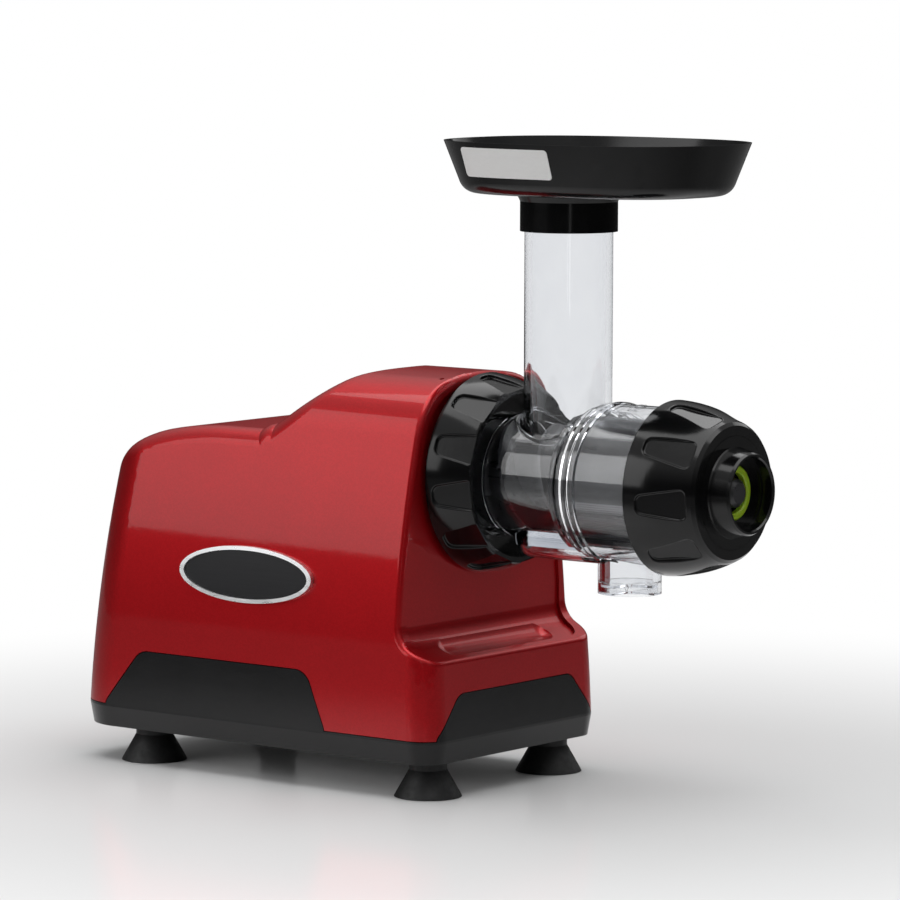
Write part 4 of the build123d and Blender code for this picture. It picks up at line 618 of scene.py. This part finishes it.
def arrow():
    """An arrow that points round the drum to its top, drawn along u and then turned."""
    tail, tip = (-ARROW_LENGTH / 2, 0.0), (ARROW_LENGTH / 2, 0.0)
    back = ARROW_LENGTH / 2 - ARROW_HEAD
    spread = ARROW_HEAD * HEAD_SPREAD
    shaft = bent_line([tail, tip], [SHAFT_STEPS])
    barbs = bent_line([(back, spread), tip, (back, -spread)], [SHORT_STEPS, SHORT_STEPS])
    return [([(v, -u) for u, v in path], False) for path in (shaft, barbs)]


def padlock(lift_by):
    """A padlock's outline, its shackle raised by lift_by."""
    r, top = LOCK_R, LOCK_TOP * LOCK_R
    steps = [LONG_STEPS, SHORT_STEPS, LONG_STEPS, SHORT_STEPS]
    body = outline([(-r, -r), (r, -r), (r, top), (-r, top)], steps)
    shackle = [(v, u) for u, v in arc((top + lift_by, 0.0), SHACKLE_R, -90, 90, SHACKLE_STEPS)]
    return [(body, True), (shackle, False)]


def triangle():
    """A small triangle whose point is down."""
    up, side = TRIANGLE_HALF_H, TRIANGLE_HALF_W
    return [(outline([(-up, 0.0), (up, side), (up, -side)], [SHORT_STEPS] * 3), True)]


def mark(name, body, strokes, bead, lift):
    """One raised mark in clear plastic that rides on the body."""
    verts, faces = joined([raised_line(path, closed, bead, lift) for path, closed in strokes])
    piece(name, verts, faces, "clear_drum", body)


mark("drum_arrow_mark", "machine", arrow(), DRUM_BEAD, on_drum(ARROW_MARK_TURN))
mark("drum_locked_mark", "machine", padlock(LOCKED_LIFT), DRUM_BEAD, on_drum(LOCKED_MARK_TURN))
mark("drum_open_mark", "machine", padlock(OPEN_LIFT), DRUM_BEAD, on_drum(OPEN_MARK_TURN))
mark("collar_drip_mark", "drip_stop", triangle(), COLLAR_BEAD, on_collar(COLLAR_MARK_TURN))


# ---- Stage: floor, world and lamps ------------------------------------------

FLOOR_R = 2.4
FLOOR_RINGS = 48
FLOOR_STEPS = 96
FLOOR_SPREAD = 1.5           # above 1, the rings are wider further out
FLOOR_PLACE = (20.0 * MM, 0.0, -0.2 * MM)
FLOOR_PLAIN_R = 0.20         # the lit floor fades to the white background beyond this
FLOOR_FADE_R = 0.62
FLOOR_GLOSS = 0.22           # how bright the faded floor is in reflections

AMBIENT = 0.38               # strength of the world on matt surfaces
GLOSS_LOW = 0.03             # strength of the world in reflections near the horizon
GLOSS_HIGH = 0.75            # and overhead
GLOSS_RISE = (0.12, 0.85)    # the rise, as the height of a direction whose length is 1

LAMP_TARGET = (0.0, 0.0, 0.14)
STAGE_MIDDLE = (0.0, 0.0, 0.0)


def floor_mesh():
    verts, faces = [(0.0, 0.0, 0.0)], []
    for i in range(1, FLOOR_RINGS + 1):
        r = FLOOR_R * (i / FLOOR_RINGS) ** FLOOR_SPREAD
        for k in range(FLOOR_STEPS):
            a = 2 * pi * k / FLOOR_STEPS
            verts.append((r * cos(a), r * sin(a), 0.0))
    for k in range(FLOOR_STEPS):
        faces.append((0, 1 + k, 1 + (k + 1) % FLOOR_STEPS))
    for i in range(FLOOR_RINGS - 1):
        for k in range(FLOOR_STEPS):
            a = 1 + i * FLOOR_STEPS + k
            b = 1 + i * FLOOR_STEPS + (k + 1) % FLOOR_STEPS
            faces.append((a, a + FLOOR_STEPS, b + FLOOR_STEPS, b))
    mesh = bpy.data.meshes.new("floor")
    mesh.from_pydata(verts, [], faces)
    return mesh


def floor_white():
    """Glossy white near the object, fading to the plain white of the background."""
    shader = Shader("floor_white")
    tone = shader.noise(scale=3.0, detail=3.0, rough=0.5)
    shader.surface(Roughness=0.16, Specular_IOR_Level=0.35)
    shader.surface(Base_Color=shader.mix(tone, (0.86, 0.865, 0.87), (0.89, 0.89, 0.89)))
    x, y = shader.split(shader.coords)[0:2]
    fade = shader.span(shader.length(x, y), (FLOOR_PLAIN_R, FLOOR_FADE_R))
    straight, glossy = shader.ray_kinds()
    shine = shader.math("MAXIMUM", straight, shader.math("MULTIPLY", glossy, FLOOR_GLOSS))
    white = shader.node("ShaderNodeEmission", Color=WHITE, Strength=shine)
    blend = shader.node("ShaderNodeMixShader", Fac=fade)
    shader.feed(blend.inputs[1], shader.body.outputs[0])
    shader.feed(blend.inputs[2], white.outputs[0])
    shader.feed(shader.output.inputs["Surface"], blend.outputs[0])
    return shader.material


def make_floor():
    mesh = floor_mesh()
    mesh.materials.append(floor_white())
    floor = bpy.data.objects.new("floor", mesh)
    floor.location = FLOOR_PLACE
    bpy.context.scene.collection.objects.link(floor)


def make_world():
    """White to the camera and through glass; in reflections brighter overhead than at the horizon."""
    world = bpy.data.worlds.new("studio")
    bpy.context.scene.world = world
    world.use_nodes = True
    nodes = Nodes(world.node_tree)
    straight, glossy = nodes.ray_kinds()
    direction = nodes.split(nodes.node("ShaderNodeTexCoord").outputs["Generated"])
    gloss = nodes.math("MULTIPLY", glossy, nodes.span(direction[2], GLOSS_RISE, (GLOSS_LOW, GLOSS_HIGH)))
    matt = nodes.math("SUBTRACT", 1.0, nodes.math("MAXIMUM", straight, glossy))
    seen = nodes.math("MAXIMUM", straight, gloss)
    strength = nodes.math("ADD", seen, nodes.math("MULTIPLY", matt, AMBIENT))
    background = nodes.node("ShaderNodeBackground", Color=WHITE, Strength=strength)
    nodes.node("ShaderNodeOutputWorld", Surface=background.outputs[0])


def softbox(name, place, target, width, height, radiance):
    """Rectangular lamp that faces its target; radiance is how bright it looks in a mirror."""
    data = bpy.data.lights.new(name, "AREA")
    data.shape = "RECTANGLE"
    data.size = width
    data.size_y = height
    data.energy = radiance * pi * width * height
    lamp = bpy.data.objects.new(name, data)
    lamp.location = place
    aim = Vector(target) - Vector(place)
    lamp.rotation_euler = aim.to_track_quat("-Z", "Y").to_euler()
    lamp.visible_camera = False
    bpy.context.scene.collection.objects.link(lamp)


def make_lamps():
    body, ground = LAMP_TARGET, STAGE_MIDDLE
    softbox("key_left", place=(-1.05, -1.70, 0.95), target=body, width=1.5, height=1.3, radiance=2.3)
    softbox("top", place=(0.05, 0.10, 1.35), target=ground, width=1.7, height=1.6, radiance=2.7)
    softbox("fill_right", place=(1.8, -0.55, 0.75), target=body, width=0.3, height=0.9, radiance=0.30)
    softbox("rim_back", place=(0.25, 1.5, 0.8), target=body, width=0.9, height=0.6, radiance=1.2)
    softbox("edge_strip", place=(1.35, -1.55, 0.62), target=body, width=0.10, height=1.1, radiance=1.6)


bpy.context.scene.view_settings.view_transform = "Standard"
make_floor()
make_world()
make_lamps()
